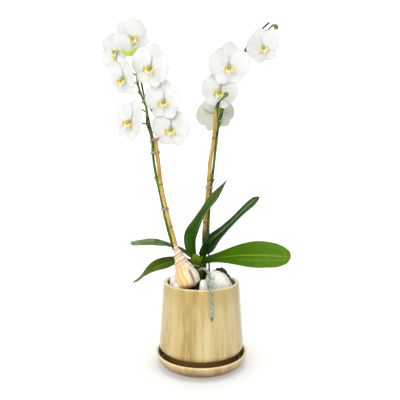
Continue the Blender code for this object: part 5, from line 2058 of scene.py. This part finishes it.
@dataclass
class Bud:
    """A closed bud with three seams, on its own stalk; a spike height starts it beside the spike."""

    name: str
    spike_height: float
    route: tuple
    radii: tuple
    bud_from: float

    def build(self, skin: bpy.types.Material, stalk_skin: bpy.types.Material) -> None:
        """Makes the bud and, where it has one, its stalk."""
        points = [Vector(point) for point in self.route]
        if self.spike_height:
            start, _, _ = leave_spike(
                bundle_route("right", "spike"), self.spike_height, points[0], self.radii[0]
            )
            points.insert(0, start)
        steps = 60
        route = catmull(points, steps)
        radii = smooth_values(list(self.radii), steps)
        split = round(self.bud_from * steps)
        if split:
            form = Form().tube(route[: split + 2], radii[: split + 2], 12)
            add_piece(self.name + "_stalk", form.moved(LIFT).mesh("stalk"), stalk_skin, Slot.BUD, self.name)
        rings = []
        part, sizes = route[split:], radii[split:]
        last = len(part) - 1
        for i, ((point, side, over, _), radius) in enumerate(zip(frames_along(part), sizes)):
            level = i / last
            closing = math.sqrt(max(0.03, 1 - max(0.0, (level - 0.9) / 0.1) ** 2))
            ring = []
            for k in range(24):
                a = math.tau * k / 24
                seam = 1 - 0.07 * (0.5 + 0.5 * math.cos(3 * a)) ** 6 * math.sin(math.pi * level)
                ring.append(point + radius * closing * seam * (math.cos(a) * side + math.sin(a) * over))
            rings.append(ring)
        add_piece(
            self.name + "_head", Form().loft(rings).moved(LIFT).mesh("bud"), skin, Slot.BUD, self.name
        )


BUDS = (
    Bud("bud_right_tip", 0.0,
        ((0.1242, 0.012, 0.4755), (0.128, 0.0115, 0.4795), (0.1325, 0.0108, 0.4822),
         (0.1365, 0.0102, 0.4812), (0.138, 0.0098, 0.4775), (0.1383, 0.0096, 0.4745)),
        (0.0013, 0.0014, 0.002, 0.0038, 0.0042, 0.002), 0.4),
    Bud("bud_right_low", 0.3,
        ((0.0306, 0.01, 0.316), (0.0296, -0.002, 0.3325), (0.0335, -0.013, 0.3385),
         (0.04, -0.0245, 0.3425), (0.0434, -0.0285, 0.347), (0.0448, -0.0298, 0.3505)),
        (0.0012, 0.0013, 0.003, 0.0014, 0.002, 0.0046, 0.0024), 0.62),
    Bud("bud_left_lime", 0.0,
        ((-0.135, -0.044, 0.419), (-0.13, -0.046, 0.4135), (-0.124, -0.0475, 0.411),
         (-0.118, -0.047, 0.413), (-0.113, -0.046, 0.419), (-0.1118, -0.0455, 0.4255)),
        (0.0018, 0.0036, 0.0044, 0.0043, 0.0032, 0.001), 0.0),
)


# ---------------------------------------------------------------- studio
@dataclass
class Studio:
    """The camera, a pale floor that curves up behind, and soft light from both sides and above."""

    camera_at: Point = (-0.0025, -0.72, 0.327)
    pitch: float = 88.0
    lens: float = 35.1

    def camera(self) -> None:
        """Sets up the camera."""
        data = bpy.data.cameras.new("camera")
        data.lens = self.lens
        data.sensor_width = 36.0
        data.clip_start = 0.02
        camera = bpy.data.objects.new("camera", data)
        bpy.context.scene.collection.objects.link(camera)
        camera.location = self.camera_at
        camera.rotation_euler = (math.radians(self.pitch), 0.0, 0.0)
        bpy.context.scene.camera = camera

    def light(self, name: str, at: Point, aim: Point, size: float, watts: float, tall: float = 0.0) -> None:
        """Adds a soft panel light.

        Args:
            name: its name.
            at: where it stands.
            aim: what it points at.
            size: its width.
            watts: its power.
            tall: its height, where that differs.
        """
        data = bpy.data.lights.new(name, "AREA")
        data.shape = "RECTANGLE"
        data.size = size
        data.size_y = tall or size
        data.energy = watts
        light = bpy.data.objects.new(name, data)
        bpy.context.scene.collection.objects.link(light)
        light.location = at
        light.rotation_euler = (Vector(aim) - Vector(at)).to_track_quat("-Z", "Y").to_euler()

    def floor(self) -> None:
        """Makes the pale floor, flat under the pot and curving up far behind it."""
        bm = bmesh.new()
        rows = []
        profile = [(-4.0, 0.0), (1.2, 0.0), (1.7, 0.03), (2.1, 0.16), (2.4, 0.4), (2.6, 0.8), (2.7, 4.5)]
        for y, z in profile:
            rows.append([bm.verts.new((x, y, z - 0.0002)) for x in (-5.0, 5.0)])
        for low, high in zip(rows, rows[1:]):
            bm.faces.new((low[0], low[1], high[1], high[0]))
        mesh = bpy.data.meshes.new("floor")
        bm.to_mesh(mesh)
        bm.free()
        mesh.shade_smooth()
        obj = bpy.data.objects.new("floor", mesh)
        bpy.context.scene.collection.objects.link(obj)
        mesh.materials.append(Paper("paper_finish").make())

    def build(self) -> None:
        """Sets up the camera, floor, lights and sky."""
        self.camera()
        self.floor()
        scene = bpy.context.scene
        scene.view_settings.view_transform = "Standard"
        world = bpy.data.worlds.new("sky")
        world.use_nodes = True
        world.node_tree.nodes["Background"].inputs["Color"].default_value = (1.0, 1.0, 1.0, 1.0)
        world.node_tree.nodes["Background"].inputs["Strength"].default_value = 0.31
        scene.world = world
        self.light("front_panel", (-0.5, -2.1, 1.1), (0.0, 0.0, 0.3), 1.3, 22.0)
        self.light("left_panel", (-1.3, -0.8, 0.8), (0.0, 0.0, 0.3), 0.7, 3.0, 1.4)
        self.light("right_panel", (1.4, -0.5, 0.7), (0.0, 0.0, 0.25), 0.5, 0.5, 1.3)
        self.light("top_panel", (0.1, -0.2, 1.9), (0.0, 0.0, 0.2), 1.4, 18.0)


CLIPS = (
    "clip_left_top", "clip_left_stake_top", "clip_left_mid", "clip_left_low", "clip_right_top",
    "clip_right_low"
)


def build_plant() -> None:
    """Makes everything that grows, and what ties it up."""
    Crown().build()
    Roots().build()
    # the bloom and gleam settings paint sheen and a highlight band onto each leaf
    skins = {
        "leaf_right": LeafSkin("leaf_right_finish", young=(0.098, 0.228, 0.001), old=(0.042, 0.13, 0.001),
                               gleam=0.7, gleam_amount=0.3),
        "leaf_back_right": LeafSkin("leaf_back_right_finish", young=(0.04, 0.135, 0.001),
                                    old=(0.006, 0.03, 0.001), under=(0.003, 0.03, 0.001),
                                    under_tip=(0.04, 0.11, 0.015), bloom_and_sheen=(0.36, 0.46, 0.26), gleam=0.72,
                                    gleam_amount=0.5),
        "leaf_upright": LeafSkin("leaf_upright_finish", young=(0.2, 0.225, 0.05), old=(0.012, 0.052, 0.001),
                                 under=(0.026, 0.098, 0.001), under_tip=(0.1, 0.15, 0.04),
                                 bloom_and_sheen=(0.36, 0.42, 0.2), gleam=0.3, gleam_amount=0.4),
        "leaf_far_left": LeafSkin("leaf_far_left_finish", young=(0.25, 0.34, 0.15),
                                  old=(0.02, 0.065, 0.003), under=(0.09, 0.15, 0.045),
                                  under_tip=(0.26, 0.35, 0.19), bloom_and_sheen_amount=0.7, bloom_and_sheen=(0.3, 0.38, 0.2)),
        "leaf_low_left": LeafSkin("leaf_low_left_finish", young=(0.115, 0.165, 0.018),
                                  old=(0.045, 0.09, 0.003), under=(0.07, 0.12, 0.012),
                                  under_tip=(0.14, 0.175, 0.035)),
    }
    for name, height, stations in LEAF_TABLE:
        Leaf(name, height, stations).build(skins[name].make())
    stalk = Stalk("spike_finish").make()
    bract = LeafSkin(
        "bract_finish", young=(0.35, 0.44, 0.06), old=(0.16, 0.26, 0.03), base=(0.1, 0.16, 0.02)
    ).make()
    # each stake is painted with shade up to its given height
    left_cane = Bamboo("left_cane_finish", painted_shade_to=0.19).make()
    right_cane = Bamboo("right_cane_finish", painted_shade_to=0.266).make()
    wire = Coated("wire_finish", (0.022, 0.01, 0.014), (0.07, 0.04, 0.045), 0.42).make()
    stubs = ((0.2985, (-0.011, -0.001, 0.0006), 0.0015), (0.369, (-0.0085, -0.0015, 0.0055), 0.0014),
             (0.337, (0.014, 0.0, -0.015), 0.0018))
    Bundle("left", (0.106, 0.197, 0.299, 0.354), stubs, 20.0).build(stalk, bract, left_cane, wire)
    Bundle("right", (0.117, 0.193, 0.29, 0.379), (), 200.0).build(stalk, bract, right_cane, wire)
    clip = Coated("clip_finish", (0.34, 0.23, 0.14), (0.6, 0.5, 0.38), 0.25).make()
    for name in CLIPS:
        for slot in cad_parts[name].material_slots:
            slot.material = clip
    petal, lip = Petal("petal_finish").make(), LipSkin("lip_finish").make()
    pale = Stalk(
        "flower_stalk_finish", green=(0.2, 0.3, 0.05), blush=(0.12, 0.18, 0.03), blush_from=0.6
    ).make()
    for row in FLOWERS:
        Flower(*row).build(petal, lip, pale)
    olive = BudSkin("bud_finish", (0.13, 0.2, 0.02), (0.24, 0.2, 0.03)).make()
    lime = BudSkin("lime_bud_finish", (0.46, 0.58, 0.035), (0.6, 0.66, 0.1)).make()
    for bud in BUDS:
        bud.build(lime if bud.name.endswith("lime") else olive, stalk)


def main() -> None:
    """Builds the studio, then the orchid from its foot up."""
    logging.basicConfig(level=logging.INFO, format="%(message)s", stream=sys.stdout)
    Studio().build()
    PotAndSaucer().build()
    BarkBed().build()
    MossMound().build()
    banded = Shell("banded_shell_finish").make()
    white = Shell("white_shell_finish").make()
    for shell in SHELLS:
        shell.build(banded)
    for shell in RIBBED_SHELLS:
        shell.build(white)
    build_plant()


if __name__ == "__main__":
    main()
